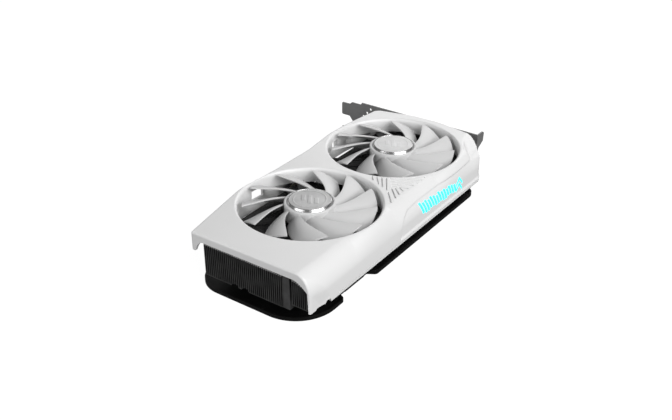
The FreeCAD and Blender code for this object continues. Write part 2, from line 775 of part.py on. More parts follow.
def board_screw_places():
    return [(-62.0, 54.0), (26.0, 54.0), (76.0, 54.0), (-40.0, -38.0), (20.0, -38.0), (76.0, -38.0)]


def bracket_screw_places():
    return [(98.5, -35.0), (98.5, 57.0)]


def circuit_board():
    z0, z1 = BOARD_BOTTOM, BOARD_TOP
    tab_far = KEY_X + TAB_SHORT
    tab_near = KEY_X - TAB_LONG
    outline = [
        (BOARD_BACK_X, BOARD_RIGHT_Y, 2.0),
        (BOARD_FRONT_X, BOARD_RIGHT_Y, 1.0),
        (BOARD_FRONT_X, BOARD_LEFT_Y, 1.0),
        (tab_far, BOARD_LEFT_Y, 0.8),
        (tab_far, TAB_END_Y, 0.8),
        (tab_near, TAB_END_Y, 0.8),
        (tab_near, BOARD_LEFT_Y, 0.8),
        (tab_near - 3.0, BOARD_LEFT_Y, 1.0),
        (tab_near - 3.0, TAB_END_Y - 3.0, 1.0),
        (tab_near - 12.0, TAB_END_Y - 3.0, 1.5),
        (tab_near - 12.0, BOARD_LEFT_Y - 2.0, 1.0),
        (BOARD_BACK_X, BOARD_LEFT_Y - 2.0, 2.0),
    ]
    board = plan_prism(outline, z0, z1)
    key = box(KEY_X - KEY_WIDTH / 2, KEY_X + KEY_WIDTH / 2, BOARD_LEFT_Y + 0.6, TAB_END_Y + 1, z0, z1)
    holes = [key]
    for x, y in board_screw_places() + bracket_screw_places():
        holes.append(cylinder(x, y, z0, z1, 1.4))
    for x, y in retention_places():
        holes.append(cylinder(x, y, z0, z1, 1.5))
    return board.cut(holes)


def edge_contacts():
    """Gold pads on both faces of the slot tab."""
    pads = []
    first = KEY_X + TAB_SHORT - 0.65 - CONTACT_WIDTH
    y0 = TAB_END_Y - 0.6 - CONTACT_LENGTH
    count = int(TAB_SHORT + TAB_LONG - 1.3)
    for i in range(count):
        x = first - i * CONTACT_PITCH
        if abs(x + CONTACT_WIDTH / 2 - KEY_X) < KEY_WIDTH / 2 + CONTACT_WIDTH / 2:
            continue
        for z in (BOARD_TOP, BOARD_BOTTOM - CONTACT_THICKNESS):
            pads.append(box(x, x + CONTACT_WIDTH, y0, y0 + CONTACT_LENGTH, z, z + CONTACT_THICKNESS))
    return Part.makeCompound(pads)


def gpu_package():
    half = GPU_SIDE / 2
    return box(GPU_X - half, GPU_X + half, GPU_Y - half, GPU_Y + half, BOARD_TOP, PACKAGE_TOP)


def gpu_die():
    return box(GPU_X - 9.0, GPU_X + 9.0, GPU_Y - 7.5, GPU_Y + 7.5, PACKAGE_TOP, DIE_TOP)


def memory_chips():
    chips = []
    for x, y, width, depth in memory_places():
        dx = width / 2
        dy = depth / 2
        chips.append(box(x - dx, x + dx, y - dy, y + dy, BOARD_TOP, BOARD_TOP + CHIP_HEIGHT))
    return Part.makeCompound(chips)


def power_stage_places():
    return [(CHOKE_X + 9.0, y) for y in CHOKE_ROWS_Y]


def thermal_pads():
    """Soft pads between the chips and the cooler frame."""
    pads = []
    for x, y, width, depth in memory_places():
        dx = width / 2 - 0.8
        dy = depth / 2 - 0.8
        pads.append(box(x - dx, x + dx, y - dy, y + dy, BOARD_TOP + CHIP_HEIGHT, COOLER_FRAME_BOTTOM))
    for x, y in power_stage_places():
        pads.append(box(x - 2.0, x + 2.0, y - 2.5, y + 2.5, BOARD_TOP + 0.9, COOLER_FRAME_BOTTOM))
    return Part.makeCompound(pads)


def chokes():
    blocks = []
    for y in CHOKE_ROWS_Y:
        block = box(CHOKE_X - 4.0, CHOKE_X + 4.0, y - 4.0, y + 4.0, BOARD_TOP, BOARD_TOP + 5.6)
        blocks.append(block.makeFillet(0.6, [e for e in block.Edges if abs(e.tangentAt(0).z) > 0.9]))
    return Part.makeCompound(blocks)


def power_stages():
    top = BOARD_TOP + 0.9
    stages = [box(x - 2.5, x + 2.5, y - 3.0, y + 3.0, BOARD_TOP, top) for x, y in power_stage_places()]
    return Part.makeCompound(stages)


def capacitors():
    cans = []
    for y in CHOKE_ROWS_Y:
        can = cylinder(CHOKE_X - 12.0, y, BOARD_TOP, BOARD_TOP + 7.0, 3.1)
        cans.append(can.makeFillet(0.5, [e for e in can.Edges if e.CenterOfMass.z > BOARD_TOP + 6.9]))
    return Part.makeCompound(cans)


def controller_chips():
    chips = [
        box(-52.0, -45.0, 16.0, 23.0, BOARD_TOP, BOARD_TOP + 0.9),
        box(-50.0, -45.0, 34.0, 39.0, BOARD_TOP, BOARD_TOP + 0.8),
        box(-58.0, -53.0, -14.0, -8.0, BOARD_TOP, BOARD_TOP + 0.8),
        box(80.5, 84.5, -12.0, -6.0, BOARD_TOP, BOARD_TOP + 1.0),
    ]
    return Part.makeCompound(chips)


def board_nuts():
    nuts = []
    for x, y in board_screw_places():
        turns = [math.radians(60 * k) for k in range(6)]
        hexagon = [(x + 2.6 * math.cos(turn), y + 2.6 * math.sin(turn), 0) for turn in turns]
        nuts.append(plan_prism(hexagon, BOARD_TOP, 6.2).cut(cylinder(x, y, BOARD_TOP, 6.2, 1.2)))
    return Part.makeCompound(nuts)


# ---------------------------------------------------------------- power socket
def power_socket():
    """Eight-way socket in the backplate's notch, its mouth facing -Y."""
    x0 = POWER_X - POWER_WIDTH / 2
    x1 = POWER_X + POWER_WIDTH / 2
    body = box(x0, x1, POWER_FRONT_Y, POWER_BACK_Y, BOARD_TOP, POWER_TOP)
    mouth = box(x0 + 1.2, x1 - 1.2, POWER_FRONT_Y, POWER_BACK_Y - 1.8, BOARD_TOP + 1.1, POWER_TOP - 1.1)
    latch_y = POWER_FRONT_Y + 2.0
    latch = box(POWER_X - 2.5, POWER_X + 2.5, latch_y, latch_y + 4.0, POWER_TOP, POWER_TOP + 1.2)
    return fuse([body.cut(mouth), latch])


def power_pins():
    pins = []
    y1 = POWER_BACK_Y - 1.8
    for row in (-1, 1):
        z = (BOARD_TOP + POWER_TOP) / 2 + row * 2.1
        for i in range(4):
            x = POWER_X + (i - 1.5) * POWER_PIN_PITCH
            pins.append(box(x - 0.55, x + 0.55, y1 - 5.0, y1, z - 0.55, z + 0.55))
    return Part.makeCompound(pins)


# ---------------------------------------------------------------- ports and bracket
def port_shell(y, width, height, chamfer):
    """Folded metal socket shell with an open mouth towards +X."""
    x0 = BRACKET_INNER_X - PORT_DEPTH
    x1 = BRACKET_INNER_X + BRACKET_THICKNESS
    z0 = PORT_BOTTOM
    wall = 0.5

    def prism(margin, start):
        half = width / 2 - margin
        corners = [
            (y - half + chamfer, z0 + margin, 0),
            (y + half, z0 + margin, 0),
            (y + half, z0 + height - margin, 0),
            (y - half, z0 + height - margin, 0),
            (y - half, z0 + margin + chamfer, 0),
        ]
        return side_prism(corners, start, x1)

    return prism(0, x0).cut(prism(wall, x0 + 1.0))


def port_tongue(y, width, height):
    x0 = BRACKET_INNER_X - PORT_DEPTH + 1.0
    middle = PORT_BOTTOM + height / 2
    return box(x0, x0 + 15.5, y - width / 2, y + width / 2, middle - 0.7, middle + 0.7)


def display_sockets():
    return Part.makeCompound([port_shell(y, 17.4, 6.2, 2.0) for y in DISPLAY_PORTS_Y])


def display_tongues():
    return Part.makeCompound([port_tongue(y, 12.0, 6.2) for y in DISPLAY_PORTS_Y])


def video_socket():
    return port_shell(VIDEO_PORT_Y, 15.6, 6.4, 1.2)


def video_tongue():
    return port_tongue(VIDEO_PORT_Y, 10.0, 6.4)


def bracket_outline():
    """Standard two-slot bracket seen along X, as (y, z, corner radius)."""
    top, bottom = BRACKET_TOP, BRACKET_BOTTOM
    tip = BRACKET_TOP_Y + BRACKET_LENGTH
    half = TONGUE_WIDTH / 2
    low = TONGUE_CENTRE
    high = TONGUE_CENTRE + SLOT_PITCH
    shoulder = tip - 7.3
    return [
        (BRACKET_TOP_Y, bottom, 0),
        (63.8, bottom, 0),
        (64.8, bottom + 1.8, 0),
        (73.2, bottom + 1.8, 0),
        (shoulder, low - half, 0),
        (tip, low - half, 1.2),
        (tip, low + half, 1.2),
        (shoulder, low + half, 0),
        (72.1, low + half + 4.0, 0),
        (72.1, high - half - 4.1, 0),
        (shoulder, high - half, 0),
        (tip, high - half, 1.2),
        (tip, high + half, 1.2),
        (shoulder, high + half, 0),
        (73.2, top - 1.8, 0),
        (64.8, top - 1.8, 0),
        (63.8, top, 0),
        (BRACKET_TOP_Y, top, 0),
    ]


def vent_places():
    """Diagonal runs of round vents above the ports: three high and two low, repeated along the card."""
    run = ((55.6, 35.2), (58.8, 31.6), (62.1, 28.0), (59.5, 16.5), (62.8, 13.4))
    places = []
    for k in range(VENT_RUNS):
        for y, z in run:
            places.append((y - k * VENT_PITCH, z))
    return places


def io_bracket():
    """Plate with the ports' windows, an edge fold with one screw tab, and two tabs on the board."""
    x0 = BRACKET_INNER_X
    x1 = BRACKET_INNER_X + BRACKET_THICKNESS
    plate = side_prism(bracket_outline(), x0, x1)
    tab_end = BRACKET_INNER_X + BRACKET_FLANGE
    flange_outline = [
        (x0, BRACKET_BOTTOM, 0),
        (x0 + FOLD_DEPTH, BRACKET_BOTTOM, 0),
        (x0 + FOLD_DEPTH, TAB_BOTTOM - 3.5, 1.5),
        (tab_end - 0.8, TAB_BOTTOM, 0.8),
        (tab_end, BRACKET_TOP - 0.7 * FLANGE_CORNER, 0.6),
        (tab_end - FLANGE_CORNER, BRACKET_TOP, 0.6),
        (x0, BRACKET_TOP, 0),
    ]
    flange = front_prism(flange_outline, BRACKET_TOP_Y - BRACKET_THICKNESS, BRACKET_TOP_Y)
    tabs = []
    for x, y in bracket_screw_places():
        tabs.append(box(94.5, x1, y - 3.4, y + 3.4, BOARD_TOP, BOARD_TOP + BRACKET_THICKNESS))
    body = fuse([plate, flange] + tabs)
    openings = []
    for y, z in vent_places():
        openings.append(Part.makeCylinder(VENT_RADIUS, 4, Vector(x0 - 1, y, z), Vector(1, 0, 0)))
    low = PORT_BOTTOM - 0.1
    for y in DISPLAY_PORTS_Y:
        openings.append(box(x0 - 1, x1 + 1, y - 8.8, y + 8.8, low, PORT_BOTTOM + 6.3))
    openings.append(box(x0 - 1, x1 + 1, VIDEO_PORT_Y - 7.9, VIDEO_PORT_Y + 7.9, low, PORT_BOTTOM + 6.5))
    for x, y in bracket_screw_places():
        openings.append(cylinder(x, y, BOARD_TOP, BOARD_TOP + BRACKET_THICKNESS, 1.4))
    return body.cut(openings)


def bracket_screws():
    screws = []
    top = BOARD_TOP + BRACKET_THICKNESS
    for x, y in bracket_screw_places():
        head = cylinder(x, y, top, top + 1.6, 2.5)
        screws.append(head.fuse(cylinder(x, y, BOARD_BOTTOM, top, 1.25)).removeSplitter())
    return Part.makeCompound(screws)


# ---------------------------------------------------------------- backplate
def plate_outline(inset):
    """Backplate plan: rounded open end, power notch, step clear of the slot tab."""
    front = PLATE_FRONT_X + inset
    side = PLATE_SIDE_Y + inset
    corner_y = 44.0 - inset
    slot_side_y = 57.0 - inset
    far_x = 102.6 - inset
    notch_y = -41.0 + inset
    return [
        (front, corner_y, 21.0 - inset),
        (BOARD_BACK_X - 4.0, corner_y, 4.0 + inset),
        (BOARD_BACK_X - 2.0, slot_side_y, 4.0 - inset),
        (far_x, slot_side_y, 3.0 - inset),
        (far_x, -38.5 + inset, 3.0 - inset),
        (91.5 - inset, -38.5 + inset, 2.0 + inset),
        (88.5 - inset, side, 9.5 - inset),
        (-41.5 + inset, side, 3.0 - inset / 2),
        (-45.0 + inset, notch_y, 1.0 + inset / 2),
        (-75.0 - inset, notch_y, 1.0 + inset / 2),
        (-77.5 - inset, side, 3.0 - inset / 2),
        (front, side, 28.0 - inset),
    ]


def backplate():
    """Black stamped plate with a raised rim, board posts and an airflow grille."""
    sheet = plan_prism(plate_outline(0), 0, PLATE_THICKNESS)
    rim = plan_prism(plate_outline(0), PLATE_THICKNESS, PLATE_RIM_TOP)
    rim = rim.cut(plan_prism(plate_outline(PLATE_RIM_WIDTH), PLATE_THICKNESS, PLATE_RIM_TOP))
    room_x = POWER_X - POWER_WIDTH / 2 - 0.5
    board_room = box(room_x, BOARD_FRONT_X + 4, BOARD_RIGHT_Y - 0.3, 70.0, BOARD_BOTTOM, PLATE_RIM_TOP)
    rim = rim.cut(board_room)
    posts = [cylinder(x, y, PLATE_THICKNESS, BOARD_BOTTOM, 3.0) for x, y in board_screw_places()]
    plate = fuse([sheet, rim] + posts)
    openings = []
    for x, y in board_screw_places():
        openings.append(cylinder(x, y, 0, BOARD_BOTTOM, 1.3))
        openings.append(cylinder(x, y, 0, 0.9, 2.5))
    for x, y in retention_places():
        openings.append(cylinder(x, y, 0, PLATE_THICKNESS, 4.0))
    for i in range(GRILLE_SLOTS):
        x0 = GRILLE_X + i * GRILLE_PITCH
        x1 = x0 + GRILLE_WIDTH
        y = GRILLE_HALF_LENGTH
        end = 0.48 * GRILLE_WIDTH
        slot = [(x0, -y, end), (x1, -y, end), (x1, y, end), (x0, y, end)]
        openings.append(plan_prism(slot, 0, PLATE_THICKNESS))
    return plate.cut(openings)


def backplate_screws():
    screws = []
    for x, y in board_screw_places():
        head = cylinder(x, y, 0.1, 0.9, 2.3)
        screws.append(head.fuse(cylinder(x, y, 0.9, 6.2, 1.2)).removeSplitter())
    return Part.makeCompound(screws)


# ---------------------------------------------------------------- export
def build_nodes():
    shell = shroud_shell()
    nodes = {
        "fan_shroud": fan_shroud(shell),
        "emblem_lens": emblem_lens(shell),
        "light_board": light_board(),
        "light_diodes": light_diodes(),
        "fan_screws": fan_screws(),
        "fan_headers": fan_headers(),
        "near_fin_stack": near_fins(),
        "side_fin_stack": side_fins(),
        "far_fin_stack": far_fins(),
        "heatsink_rib": heatsink_rib(),
        "straight_heat_pipes": straight_heat_pipes(),
        "near_heat_pipe": near_heat_pipe(),
        "far_heat_pipe": far_heat_pipe(),
        "cold_plate": cold_plate(),
        "cooler_frame": cooler_frame(),
        "retention_screws": retention_screws(),
        "retention_springs": retention_springs(),
        "thermal_pads": thermal_pads(),
        "circuit_board": circuit_board(),
        "edge_contacts": edge_contacts(),
        "gpu_package": gpu_package(),
        "gpu_die": gpu_die(),
        "memory_chips": memory_chips(),
        "chokes": chokes(),
        "power_stages": power_stages(),
        "capacitors": capacitors(),
        "controller_chips": controller_chips(),
        "board_nuts": board_nuts(),
        "power_socket": power_socket(),
        "power_pins": power_pins(),
        "display_sockets": display_sockets(),
        "display_tongues": display_tongues(),
        "video_socket": video_socket(),
        "video_tongue": video_tongue(),
        "io_bracket": io_bracket(),
        "bracket_screws": bracket_screws(),
        "backplate": backplate(),
        "backplate_screws": backplate_screws(),
    }
    for name, x in FAN_CENTRES.items():
        side = 1 if name == "near" else -1
        nodes[name + "_fan_rotor"] = fan_rotor(x)
        nodes[name + "_hub_disc"] = hub_disc(x)
        nodes[name + "_hub_bezel"] = hub_bezel(x)
        nodes[name + "_magnet_ring"] = magnet_ring(x)
        nodes[name + "_fan_shaft"] = fan_shaft(x)
        nodes[name + "_fan_bearing"] = fan_bearing(x)
        nodes[name + "_motor_frame"] = motor_frame(x)
        nodes[name + "_stator_core"] = stator_core(x)
        nodes[name + "_motor_windings"] = motor_windings(x)
        nodes[name + "_fan_lead"] = fan_lead(x, side, PLUG_X[name])
        nodes[name + "_fan_plug"] = fan_plug(PLUG_X[name])
    return nodes


def main():
    os.makedirs("parts", exist_ok=True)
    for name, shape in build_nodes().items():
        shape.exportStep("parts/" + name + ".step")
        print(name, "solids", len(shape.Solids), "volume", round(shape.Volume, 1), "valid", shape.isValid())


main()
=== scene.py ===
import json
import math
import bmesh
import bpy
import numpy as np
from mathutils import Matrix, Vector


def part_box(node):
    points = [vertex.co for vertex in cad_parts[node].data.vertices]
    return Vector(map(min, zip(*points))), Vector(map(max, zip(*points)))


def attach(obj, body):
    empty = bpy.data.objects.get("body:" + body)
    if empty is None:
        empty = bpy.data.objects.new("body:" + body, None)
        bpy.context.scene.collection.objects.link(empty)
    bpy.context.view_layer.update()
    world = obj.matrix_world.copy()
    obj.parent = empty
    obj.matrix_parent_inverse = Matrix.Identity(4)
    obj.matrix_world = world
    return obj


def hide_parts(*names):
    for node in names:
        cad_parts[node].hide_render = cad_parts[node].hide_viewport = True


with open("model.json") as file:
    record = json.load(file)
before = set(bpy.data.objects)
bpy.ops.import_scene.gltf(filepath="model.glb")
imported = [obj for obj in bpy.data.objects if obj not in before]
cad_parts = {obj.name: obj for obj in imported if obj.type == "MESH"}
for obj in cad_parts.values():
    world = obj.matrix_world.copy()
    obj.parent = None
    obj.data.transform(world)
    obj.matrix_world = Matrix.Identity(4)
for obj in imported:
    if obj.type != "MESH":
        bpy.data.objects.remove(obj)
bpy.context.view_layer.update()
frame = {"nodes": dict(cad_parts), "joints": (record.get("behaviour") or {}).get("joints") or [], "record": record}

# ---------------------------------------------------------------- driving sizes, in millimetres
MM = 0.001
FAN_X = {joint["child"]: joint["pos_m"][0] / MM for joint in frame["joints"]}
FAN_OFFSET = max(FAN_X.values())
SHROUD_LOW, SHROUD_HIGH = [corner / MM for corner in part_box("fan_shroud")]
FRONT_X = SHROUD_LOW.x
SIDE_Y = SHROUD_LOW.y
SIDE_BOTTOM = SHROUD_LOW.z
TOP_Z = SHROUD_HIGH.z

# fan openings: the duct, and the rounded lip round it
DUCT_RADIUS = 46.0
DUCT_BOTTOM = 31.2
LIP_WIDTH = 1.8
LIP_HEIGHT = 2.8
RIM_MARGIN = 1.0

# walls of the shroud: where each stretch ends, and the openings in the contact side
WALL = 1.9
SKIRT_BOTTOM = 33.1
LOW_WALL_BOTTOM = 20.0
LOW_WALLS_X = ((-90.0, -13.2), (14.0, 86.0))
WINDOWS_X = ((-52.0, -41.0), (36.0, 46.0))
WINDOW_Z = (28.0, 35.0)
BRACKET_END_X = 88.0
BRACKET_END_Y = -38.0
SIDE_NOTCHES = ((-112.4, -105.2, 0.8), (-105.2, -100.8, 2.4))

# open end: a lip between two legs, arched towards each of them
LEG_BOTTOM = 28.8
LEG_EDGE_Y = 34.2
FRONT_CORNER_Y = 36.9
FRONT_LIP_BOTTOM = 36.2
SIDE_ARCH_WIDTH = 13.9
SIDE_ARCH_DROP = 6.0
SIDE_ARCH_POWER = 2.2
LEG_ARCH_WIDTH = 7.2
LEG_ARCH_POWER = 2.6

# rolled edges of the top
SHOULDER_WIDTH = 11.5
SHOULDER_HEIGHT = 14.5
SHOULDER_POWER = 1.75
EDGE_ROLL = 1.5

# fans: hub cup, silver disc in its bezel, and blades
HUB_RADIUS = 16.6
HUB_WALL = 1.4
HUB_EDGE = 0.9
HUB_BOTTOM = 31.5
HUB_RIM_TOP = 42.2
HUB_FLOOR = 41.4
DISC_RADIUS = 13.5
DISC_TOP = 43.4
BEZEL_RADIUS = 14.7
MARK_HEIGHT = 0.08
MARK_LEAN = math.radians(35)
MARK_RING_RADIUS = 10.6
MARK_BAR_HALF = 1.25
MARK_BARS = ((-4.2, 3.4), (0.0, 5.2), (4.2, 3.4))
BLADE_COUNT = 11
BLADE_TIP_RADIUS = 43.1
BLADE_PHASE = 133.1
BLADE_TOP = 40.0
BLADE_TIP_RISE = 1.1
BLADE_DROP = 8.2
BLADE_HALF = 0.85
BLADE_LEAD_ROOT = -37.0
BLADE_LEAD_SWEEP = (60.5, -23.5)
BLADE_CHORD = 32.0
BLADE_CHORD_TAPER = 8.0

# heatsink's open end: the fins' top corners, which fall under the shoulder, and the lugs on them
FIN_TOP_Z = 35.0
FIN_DROP = 5.4
FIN_DROP_Y = -37.3
FIN_DROP_WIDTH = 13.5
LUG_ROWS = ((-30.9, 29.5), (-50.8, -37.3))
LUG_FRONT_X = -117.9
LUG_PITCH = 1.52
LUG_SIZE = (1.0, 0.85, 0.8)

PLATE_RIM_TOP = 2.6


# ---------------------------------------------------------------- materials
def new_material(name):
    material = bpy.data.materials.new(name)
    material.use_nodes = True
    nodes = material.node_tree.nodes
    return material, nodes, material.node_tree.links, nodes["Principled BSDF"]


def object_noise(nodes, links, scale, detail, stretch=(1, 1, 1)):
    """Noise in the object's own space, in cells per metre, stretched along an axis for brushed metal."""
    place = nodes.new("ShaderNodeTexCoord")
    mapping = nodes.new("ShaderNodeMapping")
    mapping.inputs["Scale"].default_value = stretch
    noise = nodes.new("ShaderNodeTexNoise")
    noise.inputs["Scale"].default_value = scale
    noise.inputs["Detail"].default_value = detail
    links.new(place.outputs["Object"], mapping.inputs["Vector"])
    links.new(mapping.outputs["Vector"], noise.inputs["Vector"])
    return noise.outputs["Fac"]


def colour_between(nodes, links, factor, dark, light, low=0.35, high=0.65):
    ramp = nodes.new("ShaderNodeValToRGB")
    ramp.color_ramp.elements[0].position = low
    ramp.color_ramp.elements[0].color = (*dark, 1)
    ramp.color_ramp.elements[1].position = high
    ramp.color_ramp.elements[1].color = (*light, 1)
    links.new(factor, ramp.inputs["Fac"])
    return ramp.outputs["Color"]


def value_between(nodes, links, factor, low, high):
    scaled = nodes.new("ShaderNodeMapRange")
    scaled.inputs["From Min"].default_value = 0.3
    scaled.inputs["From Max"].default_value = 0.7
    scaled.inputs["To Min"].default_value = low
    scaled.inputs["To Max"].default_value = high
    links.new(factor, scaled.inputs["Value"])
    return scaled.outputs["Result"]


def surface(name, dark, light, roughness, metallic=0.0, blotch=60.0, grain=2500.0, bump=0.02,
            stretch=(1, 1, 1), coat=0.0, specular=0.5):
    """Colour that drifts over blotches, roughness and bump that follow a finer grain."""
    material, nodes, links, shader = new_material(name)
    drift = object_noise(nodes, links, blotch, 3.0)
    fine = object_noise(nodes, links, grain, 4.0, stretch)
    links.new(colour_between(nodes, links, drift, dark, light), shader.inputs["Base Color"])
    links.new(value_between(nodes, links, fine, *roughness), shader.inputs["Roughness"])
    relief = nodes.new("ShaderNodeBump")
    relief.inputs["Strength"].default_value = bump
    relief.inputs["Distance"].default_value = 0.0002
    links.new(fine, relief.inputs["Height"])
    links.new(relief.outputs["Normal"], shader.inputs["Normal"])
    shader.inputs["Metallic"].default_value = metallic
    shader.inputs["Coat Weight"].default_value = coat
    shader.inputs["Specular IOR Level"].default_value = specular
    return material


def grey(level):
    return (level, level, level)


def brushed_disc():
    """Turned aluminium: fine straight brushing over the whole disc."""
    return surface("brushed_disc", grey(0.50), grey(0.58), (0.42, 0.54), 0.75, blotch=90.0, grain=420.0,
                   bump=0.04, stretch=(1.0, 22.0, 1.0))


def glowing_emblem():
    material, nodes, links, shader = new_material("glowing_emblem")
    spread = object_noise(nodes, links, 700.0, 2.0)
    tint = colour_between(nodes, links, spread, (0.02, 0.86, 0.88), (0.10, 0.98, 0.98))
    links.new(tint, shader.inputs["Base Color"])
    links.new(tint, shader.inputs["Emission Color"])
    shader.inputs["Emission Strength"].default_value = 0.95
    shader.inputs["Roughness"].default_value = 0.35
    return material


def circuit_board():
    """Dark solder mask with a faint raster of tracks under it."""
    material, nodes, links, shader = new_material("solder_mask")
    place = nodes.new("ShaderNodeTexCoord")
    tracks = nodes.new("ShaderNodeTexBrick")
    tracks.inputs["Scale"].default_value = 240.0
    tracks.inputs["Mortar Size"].default_value = 0.03
    tracks.inputs["Color1"].default_value = (0.010, 0.011, 0.012, 1)
    tracks.inputs["Color2"].default_value = (0.014, 0.015, 0.017, 1)
    tracks.inputs["Mortar"].default_value = (0.024, 0.026, 0.028, 1)
    links.new(place.outputs["Object"], tracks.inputs["Vector"])
    links.new(tracks.outputs["Color"], shader.inputs["Base Color"])
    relief = nodes.new("ShaderNodeBump")
    relief.inputs["Strength"].default_value = 0.15
    relief.inputs["Distance"].default_value = 0.0001
    links.new(tracks.outputs["Fac"], relief.inputs["Height"])
    links.new(relief.outputs["Normal"], shader.inputs["Normal"])
    links.new(value_between(nodes, links, object_noise(nodes, links, 900.0, 3.0), 0.30, 0.42),
              shader.inputs["Roughness"])
    return material


def slot_materials():
    """One finish for each material slot of the record."""
    along = (1, 14, 1)
    return {
        "white_plastic": surface("white_plastic", grey(0.74), grey(0.76), (0.34, 0.44), blotch=25.0,
                                 bump=0.03),
        "fan_plastic": surface("fan_plastic", grey(0.60), grey(0.63), (0.40, 0.50), blotch=25.0, bump=0.03),
        "tab_metal": surface("tab_metal", grey(0.34), grey(0.46), (0.35, 0.5), 0.4, blotch=300.0),
        "emblem_lens": glowing_emblem(),
        "strip_board": surface("strip_board", grey(0.020), grey(0.030), (0.35, 0.5)),
        "diode": surface("diode", (0.80, 0.78, 0.60), (0.90, 0.88, 0.74), (0.15, 0.25), coat=0.3),
        "dark_screw": surface("dark_screw", grey(0.030), grey(0.055), (0.32, 0.5), 0.8, blotch=400.0),
        "steel_screw": surface("steel_screw", grey(0.55), grey(0.68), (0.22, 0.38), 1.0, blotch=400.0),
        "ivory_plastic": surface("ivory_plastic", (0.72, 0.68, 0.55), (0.80, 0.77, 0.66), (0.35, 0.5)),
        "fin_metal": surface("fin_metal", grey(0.10), grey(0.15), (0.38, 0.55), 0.85, blotch=120.0,
                             grain=700.0, stretch=along, bump=0.05),
        "nickel_pipe": surface("nickel_pipe", (0.62, 0.61, 0.59), (0.74, 0.73, 0.70), (0.16, 0.30), 1.0),
        "cold_plate": surface("cold_plate", (0.60, 0.59, 0.56), (0.72, 0.70, 0.67), (0.2, 0.34), 1.0,
                              grain=400.0, stretch=along),
        "frame_metal": surface("frame_metal", grey(0.045), grey(0.065), (0.4, 0.52), 0.7),
        "spring_steel": surface("spring_steel", grey(0.5), grey(0.62), (0.24, 0.4), 1.0),
        "thermal_pad": surface("thermal_pad", (0.36, 0.38, 0.42), (0.46, 0.48, 0.52), (0.75, 0.9),
                               bump=0.2),
        "board": circuit_board(),
        "gold": surface("gold", (0.78, 0.56, 0.20), (0.90, 0.68, 0.30), (0.18, 0.3), 1.0, blotch=300.0),
        "package": surface("package", (0.018, 0.060, 0.032), (0.028, 0.085, 0.045), (0.3, 0.45)),
        "silicon": surface("silicon", (0.30, 0.32, 0.37), (0.42, 0.44, 0.50), (0.05, 0.12), 1.0),
        "chip": surface("chip", grey(0.018), grey(0.028), (0.5, 0.65), grain=1800.0, bump=0.12),
        "choke": surface("choke", grey(0.085), grey(0.125), (0.55, 0.7), grain=1500.0, bump=0.18),
        "can": surface("can", grey(0.62), grey(0.74), (0.24, 0.36), 1.0, grain=500.0, stretch=(1, 1, 9)),
        "socket_plastic": surface("socket_plastic", grey(0.014), grey(0.022), (0.4, 0.55), bump=0.08),
        "port_steel": surface("port_steel", grey(0.50), grey(0.62), (0.22, 0.38), 1.0, grain=600.0,
                              stretch=along),
        "bracket": surface("bracket", grey(0.20), grey(0.23), (0.38, 0.5), 0.35, grain=1600.0, bump=0.08),
        # near-black: the plate's own black, deepened further to paint the shade that the shroud and fins cast over
        # it
        "backplate": surface("backplate", grey(0.003), grey(0.005), (0.38, 0.50), grain=1600.0, bump=0.06,
                             specular=0.16),
        "hub_disc": brushed_disc(),
        "bezel": surface("bezel", grey(0.60), grey(0.70), (0.20, 0.28), 1.0, blotch=200.0, bump=0.01),
        "magnet": surface("magnet", grey(0.05), grey(0.08), (0.6, 0.8), bump=0.15),
        "bronze": surface("bronze", (0.42, 0.28, 0.13), (0.55, 0.38, 0.18), (0.3, 0.5), 1.0, blotch=500.0),
        "lamination": surface("lamination", grey(0.28), grey(0.38), (0.35, 0.5), 1.0, grain=900.0,
                              stretch=(1, 1, 12), bump=0.3),
        "copper": surface("copper", (0.52, 0.20, 0.09), (0.68, 0.30, 0.15), (0.2, 0.35), 1.0, grain=1500.0,
                          stretch=(1, 1, 6), bump=0.3),
        "lead": surface("lead", grey(0.014), grey(0.024), (0.5, 0.65), bump=0.1),
    }


MATERIALS = slot_materials()
NODE_SLOT = {part["node"]: part["material_slot"] for part in frame["record"]["subparts"]}


# ---------------------------------------------------------------- mesh helpers
def add_piece(name, mesh, body, slot, smooth_angle=35.0, finish=None):
    """Puts a finished mesh in the scene with its material, its body and smooth faces."""
    piece = bpy.data.objects.new(name, mesh)
    bpy.context.scene.collection.objects.link(piece)
    mesh.materials.clear()
    mesh.materials.append(MATERIALS[finish or slot])
    mesh.polygons.foreach_set("use_smooth", [True] * len(mesh.polygons))
    mesh.set_sharp_from_angle(angle=math.radians(smooth_angle))
    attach(piece, body)
    return piece


def mesh_from(name, points, faces):
    """Mesh from points in millimetres."""
    mesh = bpy.data.meshes.new(name)
    mesh.from_pydata((np.asarray(points, float) * MM).tolist(), [], faces)
    mesh.update()
    return mesh


def grid_faces(rows, columns, close_columns=True, start=0):
    """Quads of a grid whose points are stored row after row."""
    faces = []
    last = columns if close_columns else columns - 1
    for i in range(rows - 1):
        for j in range(last):
            k = (j + 1) % columns
            a = start + i * columns
            faces.append((a + j, a + k, a + columns + k, a + columns + j))
    return faces


def lathe(name, x, profile, steps=144):
    """Profile of (radius, height) turned about a fan's axis."""
    angles = np.linspace(0, 2 * math.pi, steps, endpoint=False)
    points = []
    for radius, height in profile:
        for angle in angles:
            points.append((x + radius * math.cos(angle), radius * math.sin(angle), height))
    faces = grid_faces(len(profile), steps)
    return mesh_from(name, points, faces)


def with_modifiers(piece, *settings):
    """Adds modifiers by type and applies them, so that the mesh is final."""
    for kind, values in settings:
        modifier = piece.modifiers.new(kind.lower(), kind)
        for key, value in values.items():
            setattr(modifier, key, value)
    graph = bpy.context.evaluated_depsgraph_get()
    mesh = bpy.data.meshes.new_from_object(piece.evaluated_get(graph))
    piece.modifiers.clear()
    piece.data = mesh
    return piece


